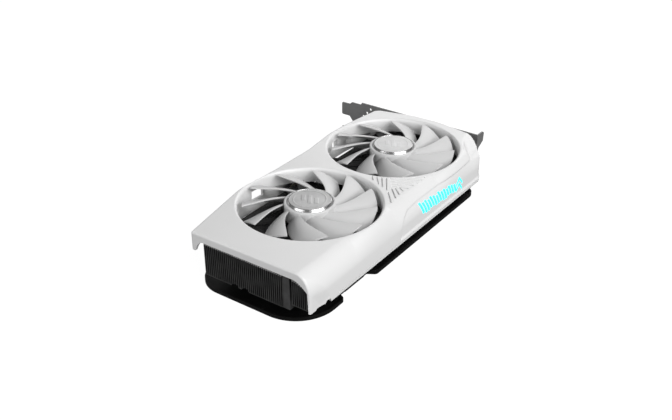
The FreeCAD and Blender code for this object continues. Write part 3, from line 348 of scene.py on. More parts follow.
def softened(node, name, width, top_limit=99.0):
    """Copy of a CAD node with rounded edges, and no higher than a limit."""
    source = frame["nodes"][node].data
    mesh = bpy.data.meshes.new(name + "_mesh")
    places = places_of(source.vertices, "co", len(source.vertices))
    places[:, 2] = np.minimum(places[:, 2], top_limit)
    mesh.from_pydata((places * MM).tolist(), [], [tuple(face.vertices) for face in source.polygons])
    build = bmesh.new()
    build.from_mesh(mesh)
    bmesh.ops.remove_doubles(build, verts=build.verts, dist=0.001 * MM)
    bmesh.ops.dissolve_limit(build, angle_limit=math.radians(0.5), verts=build.verts, edges=build.edges)
    build.to_mesh(mesh)
    build.free()
    piece = add_piece(name, mesh, "card", NODE_SLOT[node], 30.0)
    with_modifiers(piece, ("BEVEL", {"width": width * MM, "segments": 2, "limit_method": "ANGLE",
                                     "angle_limit": math.radians(40.0)}),
                   ("WEIGHTED_NORMAL", {"mode": "FACE_AREA", "weight": 100}))
    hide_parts(node)


def smoothstep(low, high, value):
    t = np.clip((value - low) / (high - low), 0, 1)
    return t * t * (3 - 2 * t)


# ---------------------------------------------------------------- shroud
# plan corners as (x, y, radius), and the straight grooves of the fan-shaped pattern
OUTLINE = [
    (FRONT_X, FRONT_CORNER_Y, 1.4),
    (-60.0, 48.4, 60.0),
    (-26.0, 46.2, 60.0),
    (12.0, 46.2, 60.0),
    (40.0, 49.6, 60.0),
    (60.0, 49.2, 60.0),
    (95.5, 44.5, 7.0),
    (102.3, 17.0, 40.0),
    (103.2, -6.0, 40.0),
    (98.3, -37.0, 14.0),
    (83.0, SIDE_Y, 12.0),
    (FRONT_X + 0.4, SIDE_Y, 1.6),
]
GROOVES = [
    ((4.0, -11.5), (-1.9, -16.6)),
    ((5.8, -14.0), (-4.4, -22.6)),
    ((7.3, -17.3), (-6.4, -27.0)),
    ((8.6, -20.4), (-8.3, -31.3)),
    ((9.2, -22.5), (20.8, -42.5)),
    ((6.4, -24.6), (16.4, -42.5)),
    ((3.6, -26.8), (11.3, -42.5)),
    ((1.1, -29.2), (6.8, -42.1)),
    ((-1.7, -31.3), (1.5, -41.6)),
    ((-10.0, -33.6), (-20.5, -42.5)),
    ((-4.7, -32.9), (-13.9, -41.7)),
    ((-2.8, -34.4), (-8.7, -41.1)),
    ((-1.1, -36.7), (-3.3, -40.7)),
]
GROOVE_HALF = 0.5
GROOVE_DEPTH = 1.1

# side wall, as (x, z) along each crease: emblem panel, slit above the foot, facet at the open end
PANEL_CREASE = [(-27.0, 12.0), (-25.8, 18.0), (-24.1, 27.5), (-19.5, 33.2), (-13.5, 36.0), (0.0, 36.9),
                (30.0, 36.7), (60.0, 37.0), (88.0, 36.7), (104.0, 36.7)]
PANEL_DEPTH = 0.8
PANEL_SOFTNESS = 1.6
SLIT_LOW = 1.15
SLIT_TOP = 1.95
SLIT_DEPTH = 1.6
SLIT_X = (-93.0, 84.0)
FACET_CREASE = [(-101.9, 14.0), (-101.9, 21.5), (-107.9, 30.9), (-113.5, 36.6), (-118.6, 40.4)]
FACET_SLOPE = 0.2
FACET_DEPTH = 1.7
FACET_FADE = 4.0
# rows of the shroud's grid: up the duct, over its lip, over the top, down the wall, and past a window
DUCT_ROWS, LIP_ROWS, TOP_ROWS, WALL_ROWS = 5, 10, 46, 30
WINDOW_ROWS = (8, 14)
SLIT_ROWS = (2.6, SLIT_TOP + 0.04, SLIT_TOP - 0.04, SLIT_LOW + 0.04, SLIT_LOW - 0.04, 0.5, 0.0)
SLIT_ROOM = 3.1

# slanting plane at the far corner: a point on it with its slopes, and the crease where it starts
FAR_FACET = (83.8, -35.3, -0.1146, 0.475)
FAR_FACET_EDGE = ((66.5, -49.5), (83.8, -35.3))
FAR_FACET_FADE = 3.5

# emblem: leaning bars with their ends trimmed by uneven amounts, then two chevrons
EMBLEM_BARS = 14
EMBLEM_START_X = -0.6
EMBLEM_TOP = 34.0
EMBLEM_LOW = 24.6
EMBLEM_PITCH = 3.2
EMBLEM_BAR_WIDTH = 2.2
EMBLEM_LEAN = 0.46
EMBLEM_TRIMS = (0.0, 0.9, 0.3, 1.2, 0.0, 0.6, 1.4)
CHEVRON_START_X = 47.5
CHEVRON_LENGTH = 8.5
CHEVRON_TOP = 27.6
CHEVRON_RISE = 4.6
CHEVRON_WIDTH = 2.1
CHEVRON_PITCH = 4.4


def rounded_outline(corners, spacing=0.6):
    """Closed outline with each corner replaced by an arc, sampled at an even spacing."""
    count = len(corners)
    points = []
    for i, (x, y, radius) in enumerate(corners):
        here = Vector((x, y))
        before = Vector(corners[i - 1][:2]) - here
        after = Vector(corners[(i + 1) % count][:2]) - here
        half = before.angle(after) / 2
        reach = radius / math.tan(half)
        reach = min(reach, 0.45 * before.length, 0.45 * after.length)
        radius = reach * math.tan(half)
        start = here + before.normalized() * reach
        end = here + after.normalized() * reach
        centre = here + (before.normalized() + after.normalized()).normalized() * radius / math.sin(half)
        first = math.atan2(start.y - centre.y, start.x - centre.x)
        sweep = math.atan2(end.y - centre.y, end.x - centre.x) - first
        sweep = (sweep + math.pi) % (2 * math.pi) - math.pi
        steps = max(6, int(abs(sweep) * radius / spacing))
        for k in range(steps + 1):
            angle = first + sweep * k / steps
            points.append((centre.x + radius * math.cos(angle), centre.y + radius * math.sin(angle)))
    return np.array(points)


def ray_reach(centre_x, angles, outline):
    """Distance from a fan's axis to the outline in each direction."""
    ends = np.roll(outline, -1, axis=0)
    edge = ends - outline
    reach = np.zeros(len(angles))
    for i, angle in enumerate(angles):
        direction = np.array([math.cos(angle), math.sin(angle)])
        offset = outline - np.array([centre_x, 0.0])
        cross = direction[0] * edge[:, 1] - direction[1] * edge[:, 0]
        cross = np.where(np.abs(cross) < 1e-12, 1e-12, cross)
        along = (offset[:, 0] * edge[:, 1] - offset[:, 1] * edge[:, 0]) / cross
        place = (offset[:, 0] * direction[1] - offset[:, 1] * direction[0]) / cross
        hits = along[(place >= -1e-9) & (place <= 1 + 1e-9) & (along > 0)]
        reach[i] = hits.max()
    return reach


def fillet_drop(distance, width, height, power):
    """How far a rolled edge lies below the flat top, at a distance in from the edge."""
    inside = np.clip(1 - distance / width, 0, 1)
    return height * (1 - (1 - inside ** power) ** (1 / power))


def segment_distance(x, y, start, end):
    sx, sy = start
    ex, ey = end
    dx, dy = ex - sx, ey - sy
    t = np.clip(((x - sx) * dx + (y - sy) * dy) / (dx * dx + dy * dy), 0, 1)
    return np.hypot(x - sx - t * dx, y - sy - t * dy)


def edge_distance(x, y, start, end):
    """Signed distance from the straight line start to end, positive on its right."""
    sx, sy = start
    ex, ey = end
    length = math.hypot(ex - sx, ey - sy)
    return ((x - sx) * (ey - sy) - (y - sy) * (ex - sx)) / length


def rim_distance(x, y, outline):
    """Distance in from the outline, leaving out the long side wall."""
    starts, ends = outline, np.roll(outline, -1, axis=0)
    tight = (starts[:, 1] > SIDE_Y + 0.01) | (ends[:, 1] > SIDE_Y + 0.01)
    sx, sy = starts[tight].T
    dx, dy = (ends - starts)[tight].T
    x, y = x[:, None], y[:, None]
    t = np.clip(((x - sx) * dx + (y - sy) * dy) / np.maximum(dx * dx + dy * dy, 1e-12), 0, 1)
    return np.hypot(x - sx - t * dx, y - sy - t * dy).min(axis=1)


def fan_radius(x, y):
    return np.minimum(np.hypot(x + FAN_OFFSET, y), np.hypot(x - FAN_OFFSET, y))


def shoulder_width(x):
    """The shoulder narrows where a fan's opening comes close to the side wall."""
    across = np.minimum(np.abs(x + FAN_OFFSET), np.abs(x - FAN_OFFSET))
    rim = DUCT_RADIUS + LIP_WIDTH
    room = -SIDE_Y - np.sqrt(np.clip(rim ** 2 - across ** 2, 0, None))
    return np.clip(room, 4.0, SHOULDER_WIDTH)


def top_height(x, y, outline):
    """Height of the moulded top at a place in plan, without the fans' openings."""
    height = TOP_Z - fillet_drop(y - SIDE_Y, shoulder_width(x), SHOULDER_HEIGHT, SHOULDER_POWER)
    height -= fillet_drop(rim_distance(x, y, outline), EDGE_ROLL, EDGE_ROLL, 2.0)
    facet_x, facet_y, slope_x, slope_y = FAR_FACET
    facet_drop = -slope_x * (x - facet_x) - slope_y * (y - facet_y)
    beyond = smoothstep(0.0, FAR_FACET_FADE, edge_distance(x, y, *FAR_FACET_EDGE))
    return np.minimum(height, TOP_Z - np.clip(facet_drop, 0, None) * beyond)


def groove_distance(x, y):
    """Distance to the nearest groove of the fan-shaped pattern between the fans."""
    nearest = np.full(np.shape(x), 99.0)
    for start, end in GROOVES:
        nearest = np.minimum(nearest, segment_distance(x, y, start, end))
    return nearest


def places_of(items, attribute, count):
    """Coordinates of a mesh's vertices or face centres, in millimetres, as three columns."""
    values = np.empty(3 * count)
    items.foreach_get(attribute, values)
    return values.reshape(-1, 3) / MM


def split_near_grooves(mesh):
    """Cuts the faces along the grooves finely enough to hold their section."""
    centres = places_of(mesh.polygons, "center", len(mesh.polygons))
    close = (centres[:, 2] > TOP_Z - 3.0) & (groove_distance(centres[:, 0], centres[:, 1]) < 1.1)
    shell = bmesh.new()
    shell.from_mesh(mesh)
    shell.faces.ensure_lookup_table()
    edges = {edge for k in np.flatnonzero(close) for edge in shell.faces[k].edges}
    bmesh.ops.subdivide_edges(shell, edges=list(edges), cuts=3, use_grid_fill=True)
    shell.to_mesh(mesh)
    shell.free()


def press_grooves(mesh):
    """Presses the grooves into the top, clear of the openings' lips."""
    places = places_of(mesh.vertices, "co", len(mesh.vertices))
    x, y, z = places.T
    share = np.clip(1 - (groove_distance(x, y) / GROOVE_HALF) ** 2, 0, 1)
    crest = DUCT_RADIUS + LIP_WIDTH
    share *= smoothstep(crest + 0.2, crest + 1.0, fan_radius(x, y)) * (z > TOP_Z - 3.0)
    places[:, 2] -= GROOVE_DEPTH * share
    mesh.vertices.foreach_set("co", (places * MM).ravel())
    mesh.update()


def front_edge(y):
    """Lower edge of the open end: the lip, the arches towards both legs, and the legs."""
    to_side = 1 - np.clip((y - (SIDE_Y + WALL)) / SIDE_ARCH_WIDTH, 0, 1)
    to_leg = np.clip((y - LEG_EDGE_Y + LEG_ARCH_WIDTH) / LEG_ARCH_WIDTH, 0, 1)
    lip = FRONT_LIP_BOTTOM - SIDE_ARCH_DROP * to_side ** SIDE_ARCH_POWER
    lip = lip - (FRONT_LIP_BOTTOM - LEG_BOTTOM) * to_leg ** LEG_ARCH_POWER
    lip = np.where(y < SIDE_Y + WALL, SIDE_BOTTOM + 0.3, lip)
    return np.where(y > LEG_EDGE_Y, LEG_BOTTOM, lip)


def lower_edge(x, y):
    """Height where the wall ends, along the outline."""
    skirt = LEG_BOTTOM + (SKIRT_BOTTOM - LEG_BOTTOM) * smoothstep(FRONT_X + 2.0, FRONT_X + 12.0, x)
    for start, end in LOW_WALLS_X:
        skirt = np.where((x > start) & (x < end) & (y > 0), LOW_WALL_BOTTOM, skirt)
    side = np.full(np.shape(x), SIDE_BOTTOM)
    for start, end, depth in SIDE_NOTCHES:
        side = np.where((x > start) & (x < end) & (y < 0), SIDE_BOTTOM + depth, side)
    skirted = (y > 0) | ((x > BRACKET_END_X) & (y > BRACKET_END_Y))
    return np.where(x < FRONT_X + 0.5, front_edge(y), np.where(skirted, skirt, side))


def contact_side_y(x, outline):
    """Where the outline runs at x on the contact side."""
    upper = outline[outline[:, 1] > 20.0]
    order = np.argsort(upper[:, 0])
    return np.interp(x, upper[order, 0], upper[order, 1])


def step_angles(side, outline):
    """Pairs of close directions at the ends of the low walls and of the windows."""
    angles = []
    places = [x for ends in LOW_WALLS_X + WINDOWS_X for x in ends]
    for x in places:
        if x * side < 0:
            continue
        for shift in (-0.06, 0.06):
            angles.append(math.atan2(contact_side_y(x + shift, outline), x + shift - side * FAN_OFFSET))
    return angles


def column_angles(side, outline):
    """Directions from a fan's axis; those that meet the seam x = 0 are set by even steps along it."""
    seam_low = SIDE_Y + SHOULDER_WIDTH * (1 - np.cos(np.linspace(0, math.pi / 2, 22)))
    seam_mid = np.arange(SIDE_Y + SHOULDER_WIDTH + 0.35, -8.0, 0.35)
    seam_high = np.linspace(-8.0, contact_side_y(0.0, outline), 70)
    seam = np.concatenate([seam_low, seam_mid, seam_high])
    seam_angles = np.arctan2(seam, FAN_OFFSET)
    first, last = seam_angles[-1], seam_angles[0] + 2 * math.pi
    around = np.linspace(first, last, 640)[1:-1]
    if side < 0:
        front_y = (FRONT_CORNER_Y, LEG_EDGE_Y, SIDE_Y + WALL, SIDE_Y + 0.8)
        extra = [math.atan2(y, FRONT_X + FAN_OFFSET) for y in front_y] + step_angles(side, outline)
    else:
        extra = [math.pi - angle for angle in step_angles(side, outline)]
    around = np.sort(np.concatenate([around, np.mod(extra, 2 * math.pi)]))
    angles = np.concatenate([seam_angles, around])
    return (angles if side < 0 else math.pi - angles), len(seam)


def duct_rows(centre_x, cos, sin, crest, ground, in_window):
    """Rows up the duct and over its rounded lip, as far as the lip's crest."""
    foot = np.where(in_window, WINDOW_Z[1] + 0.6, DUCT_BOTTOM)
    lip_depth = LIP_HEIGHT * (crest - DUCT_RADIUS) / LIP_WIDTH
    rows = []
    for t in np.linspace(0, 1, DUCT_ROWS + 1)[:-1]:
        height = foot + (ground - lip_depth - foot) * t
        rows.append(np.stack([centre_x + DUCT_RADIUS * cos, DUCT_RADIUS * sin, height], 1))
    for turn in np.linspace(0, math.pi / 2, LIP_ROWS + 1)[:-1]:
        radius = crest - (crest - DUCT_RADIUS) * math.cos(turn)
        height = ground - lip_depth * (1 - math.sin(turn))
        rows.append(np.stack([centre_x + radius * cos, radius * sin, height], 1))
    return rows


def top_rows(centre_x, cos, sin, crest, limit, on_seam, outline):
    """Rows over the top from the crest to the wall or the seam, closer together towards the edge."""
    even = np.linspace(0, 1, TOP_ROWS)
    outer = 0.6 + 0.4 * np.sin((even - 0.45) / 0.55 * math.pi / 2)
    rows = []
    for t in np.where(even < 0.45, even / 0.45 * 0.6, outer):
        radius = crest + (limit - crest) * t
        x, y = centre_x + radius * cos, radius * sin
        x = np.where(on_seam & (t == 1), 0.0, x)
        rows.append(np.stack([x, y, top_height(x, y, outline)], 1))
    return rows


def wall_rows(edge):
    """Rows down the outer wall, in line with the windows' edges and with the slit's edges."""
    x, y, top = edge.T
    foot = lower_edge(x, y)
    tall = (y > 20.0) & (top > WINDOW_Z[1])
    along_side = (y < SIDE_Y + 0.5) & (x > SLIT_X[0] - 1.0)
    even_rows = WALL_ROWS - len(SLIT_ROWS)
    start, end = WINDOW_ROWS
    rows = []
    for k in range(1, WALL_ROWS + 1):
        even = top + (foot - top) * k / WALL_ROWS
        if k <= even_rows:
            slotted = top + (foot + SLIT_ROOM - top) * k / even_rows
        else:
            slotted = foot + SLIT_ROWS[k - even_rows - 1]
        upper = top + (WINDOW_Z[1] - top) * min(k / start, 1)
        middle = (WINDOW_Z[1] - WINDOW_Z[0]) * np.clip((k - start) / (end - start), 0, 1)
        below = (WINDOW_Z[0] - foot) * np.clip((k - end) / (WALL_ROWS - end), 0, 1)
        height = np.where(tall, np.maximum(upper - middle - below, foot), even)
        rows.append(np.stack([x, y, np.where(along_side, slotted, height)], 1))
    return rows


def shroud_cell(side, outline):
    """Grid of points from the duct's foot over the lip and the top to the foot of the outer wall."""
    angles, seam_count = column_angles(side, outline)
    centre_x = side * FAN_OFFSET
    reach = ray_reach(centre_x, angles, outline)
    facing = -side * np.cos(angles)
    on_seam = np.arange(len(angles)) < seam_count
    limit = np.where(on_seam, np.minimum(reach, FAN_OFFSET / np.maximum(facing, 1e-6)), reach)
    crest = np.minimum(DUCT_RADIUS + LIP_WIDTH, limit - RIM_MARGIN)
    cos, sin = np.cos(angles), np.sin(angles)
    wall_x, wall_y = centre_x + reach * cos, reach * sin
    in_window = np.zeros(len(angles), bool)
    for start, end in WINDOWS_X:
        in_window |= (wall_x > start) & (wall_x < end) & (wall_y > 0)
    ground = top_height(centre_x + crest * cos, crest * sin, outline)
    rows = duct_rows(centre_x, cos, sin, crest, ground, in_window)
    rows += top_rows(centre_x, cos, sin, crest, limit, on_seam, outline)
    wall_start = len(rows)
    rows += wall_rows(rows[-1])
    window = np.zeros((len(rows), len(angles)), bool)
    window[wall_start + WINDOW_ROWS[0] - 1:wall_start + WINDOW_ROWS[1] - 1, :] = in_window
    return np.array(rows), on_seam, wall_start, window


def crease_distance(x, z, crease):
    """Distance on the side wall to the nearest point of a crease."""
    nearest = np.full(len(x), 99.0)
    for start, end in zip(crease[:-1], crease[1:]):
        nearest = np.minimum(nearest, segment_distance(x, z, start, end))
    return nearest


def carve_sides(points):
    """Sinks the emblem panel and the facet at the front corner into the side wall."""
    x, y, z = points.T
    near_side = smoothstep(-40.0, -46.0, y)
    crease_x, crease_z = np.array(PANEL_CREASE).T
    inside = np.interp(x, crease_x, crease_z, left=0.0) > z
    sunk = smoothstep(0.0, PANEL_SOFTNESS, crease_distance(x, z, PANEL_CREASE)) * inside
    sunk = sunk * smoothstep(SIDE_BOTTOM + SLIT_TOP + 0.1, SIDE_BOTTOM + SLIT_TOP + 2.0, z)
    edge_x, edge_z = np.array(FACET_CREASE).T
    beyond = x < np.interp(z, edge_z, edge_x)
    facet = np.minimum(FACET_SLOPE * crease_distance(x, z, FACET_CREASE), FACET_DEPTH)
    facet = facet * beyond * smoothstep(edge_z[-1], edge_z[-1] - FACET_FADE, z)
    height = z - SIDE_BOTTOM
    slit = ((height > SLIT_LOW) & (height < SLIT_TOP)) * smoothstep(SLIT_X[0], SLIT_X[0] + 3.0, x)
    slit = slit * smoothstep(SLIT_X[1], SLIT_X[1] - 3.0, x)
    y = y + near_side * (PANEL_DEPTH * sunk + facet + SLIT_DEPTH * slit)
    return np.stack([x, y, z], 1)


def shroud_mesh():
    """Outer skin of the shroud: one cell round each fan, joined along the seam between them."""
    outline = rounded_outline(OUTLINE)
    points, faces, start = [], [], 0
    for side in (-1, 1):
        rows, on_seam, wall_start, window = shroud_cell(side, outline)
        count, columns = rows.shape[:2]
        for i in range(count - 1):
            for j in range(columns):
                k = (j + 1) % columns
                seam = i >= wall_start - 1 and on_seam[j] and on_seam[k]
                if seam or (window[i, j] and window[i, k]):
                    continue
                a, b = start + i * columns, start + (i + 1) * columns
                quad = (a + j, a + k, b + k, b + j)
                faces.append(quad if side < 0 else quad[::-1])
        points.append(rows.reshape(-1, 3))
        start += count * columns
    mesh = mesh_from("shroud_skin", carve_sides(np.concatenate(points)), faces)
    shell = bmesh.new()
    shell.from_mesh(mesh)
    bmesh.ops.remove_doubles(shell, verts=shell.verts, dist=0.02 * MM)
    bmesh.ops.delete(shell, geom=[v for v in shell.verts if not v.link_faces], context="VERTS")
    bmesh.ops.recalc_face_normals(shell, faces=shell.faces)
    shell.to_mesh(mesh)
    shell.free()
    split_near_grooves(mesh)
    press_grooves(mesh)
    return mesh


def build_shroud():
    """White shroud: the outer skin given the wall's thickness."""
    shroud = add_piece("white_shroud", shroud_mesh(), "card", "white_plastic", 40.0)
    highest = max(shroud.data.polygons, key=lambda face: face.center.z * (face.area > 1e-8))
    offset = -1.0 if highest.normal.z > 0 else 1.0
    with_modifiers(shroud, ("SOLIDIFY", {"thickness": WALL * MM, "offset": offset, "use_rim": True,
                                         "use_even_offset": False}))
    shroud.data.set_sharp_from_angle(angle=math.radians(40))
    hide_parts("fan_shroud")


def side_surface(x, z):
    """The shroud's outer surface on the side wall, as y at a place (x, z)."""
    drop = np.clip((TOP_Z - z) / SHOULDER_HEIGHT, 0, 1)
    inside = (1 - (1 - drop) ** SHOULDER_POWER) ** (1 / SHOULDER_POWER)
    base = SIDE_Y + shoulder_width(x) * (1 - inside)
    return carve_sides(np.stack([x, base, z], 1))[:, 1]


def inlay(outline_at, steps=10):
    """Thin closed plate that follows the side wall; outline_at(s, t) gives (x, z) over the unit square."""
    even = np.linspace(0, 1, steps)
    s, t = [axis.ravel() for axis in np.meshgrid(even, even, indexing="ij")]
    x, z = outline_at(s, t)
    y = side_surface(x, z)
    front = np.stack([x, y - 0.12, z], 1)
    back = np.stack([x, y + 0.5, z], 1)
    count = steps * steps
    faces = grid_faces(steps, steps, close_columns=False)
    faces += [tuple(count + k for k in face[::-1]) for face in faces]
    ring = [k for k in range(steps)] + [k * steps + steps - 1 for k in range(1, steps)]
    ring += [count - 1 - k for k in range(1, steps)] + [k * steps for k in range(steps - 2, 0, -1)]
    for k, here in enumerate(ring):
        after = ring[(k + 1) % len(ring)]
        faces.append((after, here, count + here, count + after))
    return mesh_from("inlay", np.concatenate([front, back]), faces)


def build_emblem():
    """Row of leaning bars of uneven height beside two chevrons, lit from behind."""
    build = bmesh.new()
    for k in range(EMBLEM_BARS):
        left = EMBLEM_START_X + k * EMBLEM_PITCH
        top = EMBLEM_TOP - 0.085 * left - EMBLEM_TRIMS[k % len(EMBLEM_TRIMS)]
        low = EMBLEM_LOW - 0.055 * left + EMBLEM_TRIMS[(3 * k + 1) % len(EMBLEM_TRIMS)]

        def bar(s, t):
            z = top + (low - top) * t
            return left + EMBLEM_BAR_WIDTH * s + EMBLEM_LEAN * (EMBLEM_TOP - z), z
        build.from_mesh(inlay(bar))
    for drop in (0.0, CHEVRON_PITCH):
        def chevron(s, t):
            peak = CHEVRON_RISE * (1 - np.abs(2 * s - 1))
            x = CHEVRON_START_X + CHEVRON_LENGTH * s
            return x, CHEVRON_TOP - drop - 0.12 * CHEVRON_LENGTH * s + peak - CHEVRON_WIDTH * t
        build.from_mesh(inlay(chevron, 15))
    bmesh.ops.recalc_face_normals(build, faces=build.faces)
    mesh = bpy.data.meshes.new("emblem_mesh")
    build.to_mesh(mesh)
    build.free()
    emblem = add_piece("glowing_emblem", mesh, "card", "emblem_lens", 30.0)
    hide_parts("emblem_lens")


# ---------------------------------------------------------------- fans
def blade_points(x, phase, stations=22, chord_steps=14):
    """Closed sections of one blade from root to tip, thin at both edges."""
    root = HUB_RADIUS - 0.8
    points = []
    for i in range(stations):
        t = i / (stations - 1)
        radius = root + (BLADE_TIP_RADIUS - root) * t
        lead = phase + BLADE_LEAD_ROOT + BLADE_LEAD_SWEEP[0] * t + BLADE_LEAD_SWEEP[1] * t * t
        chord = BLADE_CHORD - BLADE_CHORD_TAPER * t
        upper, lower = [], []
        for j in range(chord_steps + 1):
            s = (1 - math.cos(math.pi * j / chord_steps)) / 2
            angle = math.radians(lead - chord * s)
            height = BLADE_TOP + BLADE_TIP_RISE * t - BLADE_DROP * s ** 1.5 * (1 - 0.12 * t)
            half = BLADE_HALF * (0.6 + 0.4 * math.sin(math.pi * s)) * (1 - 0.3 * t)
            if j in (0, chord_steps):
                half *= 0.3
            place = (x + radius * math.cos(angle), radius * math.sin(angle))
            upper.append((*place, height + half))
            lower.append((*place, height - half))
        points.extend(upper + lower[::-1])
    return points, stations, 2 * (chord_steps + 1)


def hub_profile():
    """Section of the hub cup: rounded outer edge, and a step down to the disc's floor."""
    wall_radius = HUB_RADIUS - HUB_WALL
    edge_radius = HUB_RADIUS - HUB_EDGE
    edge_height = HUB_RIM_TOP - HUB_EDGE
    rim = BEZEL_RADIUS + 0.1
    ceiling = HUB_FLOOR - 1.8
    profile = [(wall_radius, HUB_BOTTOM + 0.1), (HUB_RADIUS, HUB_BOTTOM + 0.1), (HUB_RADIUS, edge_height)]
    for k in range(1, 8):
        turn = math.pi / 2 * k / 7
        profile.append((edge_radius + HUB_EDGE * math.cos(turn), edge_height + HUB_EDGE * math.sin(turn)))
    profile += [(rim + 0.5, HUB_RIM_TOP - 0.04), (rim + 0.2, HUB_RIM_TOP - 0.16), (rim, HUB_RIM_TOP - 0.45)]
    profile += [(rim, HUB_FLOOR), (4.0, HUB_FLOOR), (4.0, ceiling)]
    return profile + [(wall_radius, ceiling), (wall_radius, HUB_BOTTOM + 0.1)]


def rotor_mesh(name, x):
    """Hub cup with all its blades, as one moulding."""
    hub = lathe(name + "_hub", x, hub_profile())
    build = bmesh.new()
    build.from_mesh(hub)
    for k in range(BLADE_COUNT):
        points, stations, ring = blade_points(x, BLADE_PHASE - k * 360.0 / BLADE_COUNT)
        faces = grid_faces(stations, ring)
        faces.append(tuple(range(ring))[::-1])
        faces.append(tuple(range((stations - 1) * ring, stations * ring)))
        build.from_mesh(mesh_from(name + "_blade", points, faces))
    bmesh.ops.remove_doubles(build, verts=build.verts, dist=0.002 * MM)
    bmesh.ops.recalc_face_normals(build, faces=build.faces)
    mesh = bpy.data.meshes.new(name)
    build.to_mesh(mesh)
    build.free()
    return mesh


def disc_relief(u, v):
    """Share by which the raised mark stands up at a place on the disc."""
    along = u * math.cos(MARK_LEAN) + v * math.sin(MARK_LEAN)
    across = v * math.cos(MARK_LEAN) - u * math.sin(MARK_LEAN)
    relief = smoothstep(-0.15, 0.15, 0.35 - np.abs(np.hypot(u, v) - MARK_RING_RADIUS))
    for place, half_length in MARK_BARS:
        sideways = MARK_BAR_HALF - np.abs(across - place)
        lengthways = half_length - np.abs(along - 0.5 * place)
        relief = np.maximum(relief, smoothstep(-0.2, 0.2, np.minimum(sideways, lengthways)))
    return relief


def disc_mesh(name, x):
    """Disc with a turned edge and a raised mark of three slanted bars inside a ring."""
    steps, rings = 240, 90
    radii = np.linspace(0.02, DISC_RADIUS, rings)
    angles = np.linspace(0, 2 * math.pi, steps, endpoint=False)
    radius, angle = np.meshgrid(radii, angles, indexing="ij")
    u, v = radius * np.cos(angle), radius * np.sin(angle)
    edge = fillet_drop(DISC_RADIUS - radius, 0.3, 0.25, 2.0)
    height = DISC_TOP - MARK_HEIGHT + MARK_HEIGHT * disc_relief(u, v) - edge
    top = np.stack([x + u, v, height], 2).reshape(-1, 3)
    wall = np.stack([x + u[-1], v[-1], np.full(steps, HUB_FLOOR + 0.02)], 1)
    faces = grid_faces(rings + 1, steps)
    faces.append(tuple(range(steps))[::-1])
    faces.append(tuple(range(rings * steps, (rings + 1) * steps)))
    return mesh_from(name, np.concatenate([top, wall]), faces)


def bezel_mesh(name, x):
    """Steep satin ring from the disc's edge down to the white rim."""
    inner, outer = DISC_RADIUS + 0.05, BEZEL_RADIUS
    low = HUB_FLOOR + 0.02
    foot = [(inner, low), (outer, low), (outer, low + 0.15), (outer - 0.1, low + 0.3)]
    crown = [(inner + 0.3, DISC_TOP - 0.3), (inner + 0.2, DISC_TOP - 0.12), (inner + 0.08, DISC_TOP - 0.08)]
    return lathe(name, x, foot + crown + [(inner, DISC_TOP - 0.15), (inner, low)])


def build_fan(fan, x):
    """Rotor, disc and bezel of one fan, which turn with its body."""
    short = fan.split("_")[0]
    mesh = rotor_mesh(short + "_rotor_mesh", x)
    rotor = add_piece(short + "_white_rotor", mesh, fan, "white_plastic", 32.0, "fan_plastic")
    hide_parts(short + "_fan_rotor")
    mesh = disc_mesh(short + "_disc_mesh", x)
    disc = add_piece(short + "_brushed_disc", mesh, fan, "hub_disc", 60.0)
    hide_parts(short + "_hub_disc")
    mesh = bezel_mesh(short + "_bezel_mesh", x)
    bezel = add_piece(short + "_polished_bezel", mesh, fan, "bezel", 50.0)
    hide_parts(short + "_hub_bezel")


# ---------------------------------------------------------------- small pieces
# CAD node, name of its copy, width of its rounded edges, and where its height stops if it does
SOFTENED = (
    # the backplate's copy takes the near-black finish that paints the shade under the shroud and fins
    ("backplate", "black_backplate_painted_shade", 0.4, PLATE_RIM_TOP),
    ("io_bracket", "folded_bracket", 0.16),
    ("heatsink_rib", "folded_rib", 0.2),
    ("power_socket", "moulded_power_socket", 0.25),
    ("near_fan_plug", "near_moulded_plug", 0.3),
    ("far_fan_plug", "far_moulded_plug", 0.3),
    ("fan_headers", "moulded_headers", 0.25),
)


def box_points(low, high):
    return [(x, y, z) for x in (low[0], high[0]) for y in (low[1], high[1]) for z in (low[2], high[2])]


BOX_FACES = [(0, 1, 3, 2), (4, 6, 7, 5), (0, 4, 5, 1), (2, 3, 7, 6), (0, 2, 6, 4), (1, 5, 7, 3)]


def fin_corner(y):
    """Height of the fins' top corners at the open end, lower under the shoulder."""
    return FIN_TOP_Z - FIN_DROP * np.clip((FIN_DROP_Y - y) / FIN_DROP_WIDTH, 0, None) ** 2


def build_fin_lugs():
    """Folded lugs that hook each fin of the open end to the next one."""
    points, faces = [], []
    for start, end in LUG_ROWS:
        room = end - start - 0.5
        count = round(room / LUG_PITCH)
        for k in range(count):
            low_y = start + k * room / count
            top = fin_corner(low_y) - 0.1
            low = (LUG_FRONT_X, low_y + 0.1, top - LUG_SIZE[2])
            high = (LUG_FRONT_X + LUG_SIZE[0], low_y + 0.1 + LUG_SIZE[1], top)
            faces += [tuple(len(points) + corner for corner in face) for face in BOX_FACES]
            points += box_points(low, high)
    mesh = mesh_from("fin_lugs_mesh", points, faces)
    piece = add_piece("fin_lugs", mesh, "card", "fin_metal", 30.0, "tab_metal")
    with_modifiers(piece, ("BEVEL", {"width": 0.12 * MM, "segments": 2}))


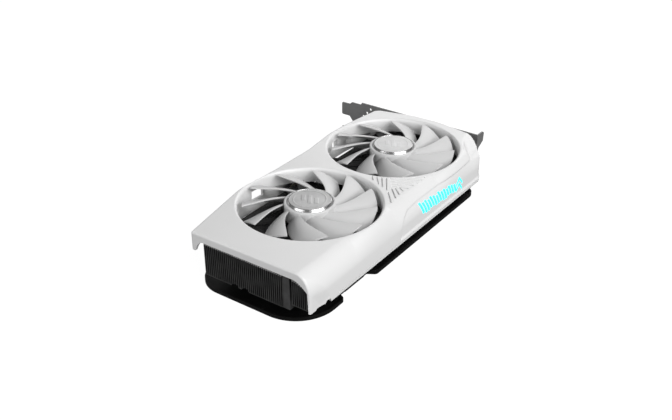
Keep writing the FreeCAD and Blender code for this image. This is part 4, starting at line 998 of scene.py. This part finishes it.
# ---------------------------------------------------------------- floor, light and camera
def build_floor():
    """Pale floor that lights itself evenly, so that it neither tints nor shades the card."""
    half = 6000
    corners = [(-half, -half, 0), (half, -half, 0), (half, half, 0), (-half, half, 0)]
    mesh = mesh_from("floor_mesh", corners, [(0, 1, 2, 3)])
    floor = bpy.data.objects.new("floor", mesh)
    floor.location.z = -0.2 * MM
    bpy.context.scene.collection.objects.link(floor)
    material, nodes, links, shader = new_material("pale_floor")
    shade = object_noise(nodes, links, 3.0, 2.0)
    links.new(colour_between(nodes, links, shade, grey(0.10), grey(0.11)), shader.inputs["Base Color"])
    shader.inputs["Emission Color"].default_value = (1, 1, 1, 1)
    shader.inputs["Emission Strength"].default_value = 0.95
    shader.inputs["Roughness"].default_value = 0.9
    mesh.materials.append(material)
    floor.visible_diffuse = False
    floor.visible_glossy = False


def area_light(name, place, target, size, power):
    data = bpy.data.lights.new(name, "AREA")
    data.shape = "RECTANGLE"
    data.size, data.size_y = size
    data.energy = power
    light = bpy.data.objects.new(name, data)
    light.location = place
    light.rotation_euler = (Vector(target) - Vector(place)).to_track_quat("-Z", "Y").to_euler()
    bpy.context.scene.collection.objects.link(light)


def build_lights():
    """Large softboxes: key over the side wall, a low one past the port end, a low one at the open end."""
    world = bpy.data.worlds.new("studio")
    bpy.context.scene.world = world
    world.use_nodes = True
    world.node_tree.nodes["Background"].inputs["Color"].default_value = (1, 1, 1, 1)
    world.node_tree.nodes["Background"].inputs["Strength"].default_value = 0.16
    target = (0, 0, 0.03)
    area_light("key", (-0.28, -1.40, 1.02), target, (1.6, 1.1), 34.8)
    area_light("back", (1.05, 0.30, 0.52), (0.06, 0, 0.03), (1.0, 0.6), 4.8)
    area_light("front", (-1.5, 0.45, 0.36), target, (1.2, 0.8), 9.0)
    bpy.context.scene.view_settings.view_transform = "Standard"


def build_camera():
    """Long lens above the open end, looking along the card at about 30 degrees down."""
    data = bpy.data.cameras.new("camera")
    data.sensor_width = 36.0
    data.lens = 50.33
    data.shift_x, data.shift_y = -0.0043, -0.0006
    data.clip_start = 0.01
    camera = bpy.data.objects.new("camera", data)
    camera.location = (-0.4615, -0.3137, 0.3333)
    camera.rotation_euler = (math.radians(90 - 29.89), 0, math.radians(-54.77))
    bpy.context.scene.collection.objects.link(camera)
    bpy.context.scene.camera = camera


def finish_cad_nodes():
    """Gives every CAD node the finish of its slot."""
    for name, node in frame["nodes"].items():
        node.data.materials.clear()
        node.data.materials.append(MATERIALS[NODE_SLOT[name]])


build_camera()
build_lights()
build_floor()
finish_cad_nodes()
build_shroud()
build_emblem()
build_fin_lugs()
for settings in SOFTENED:
    softened(*settings)
for fan_name, fan_x in FAN_X.items():
    build_fan(fan_name, fan_x)
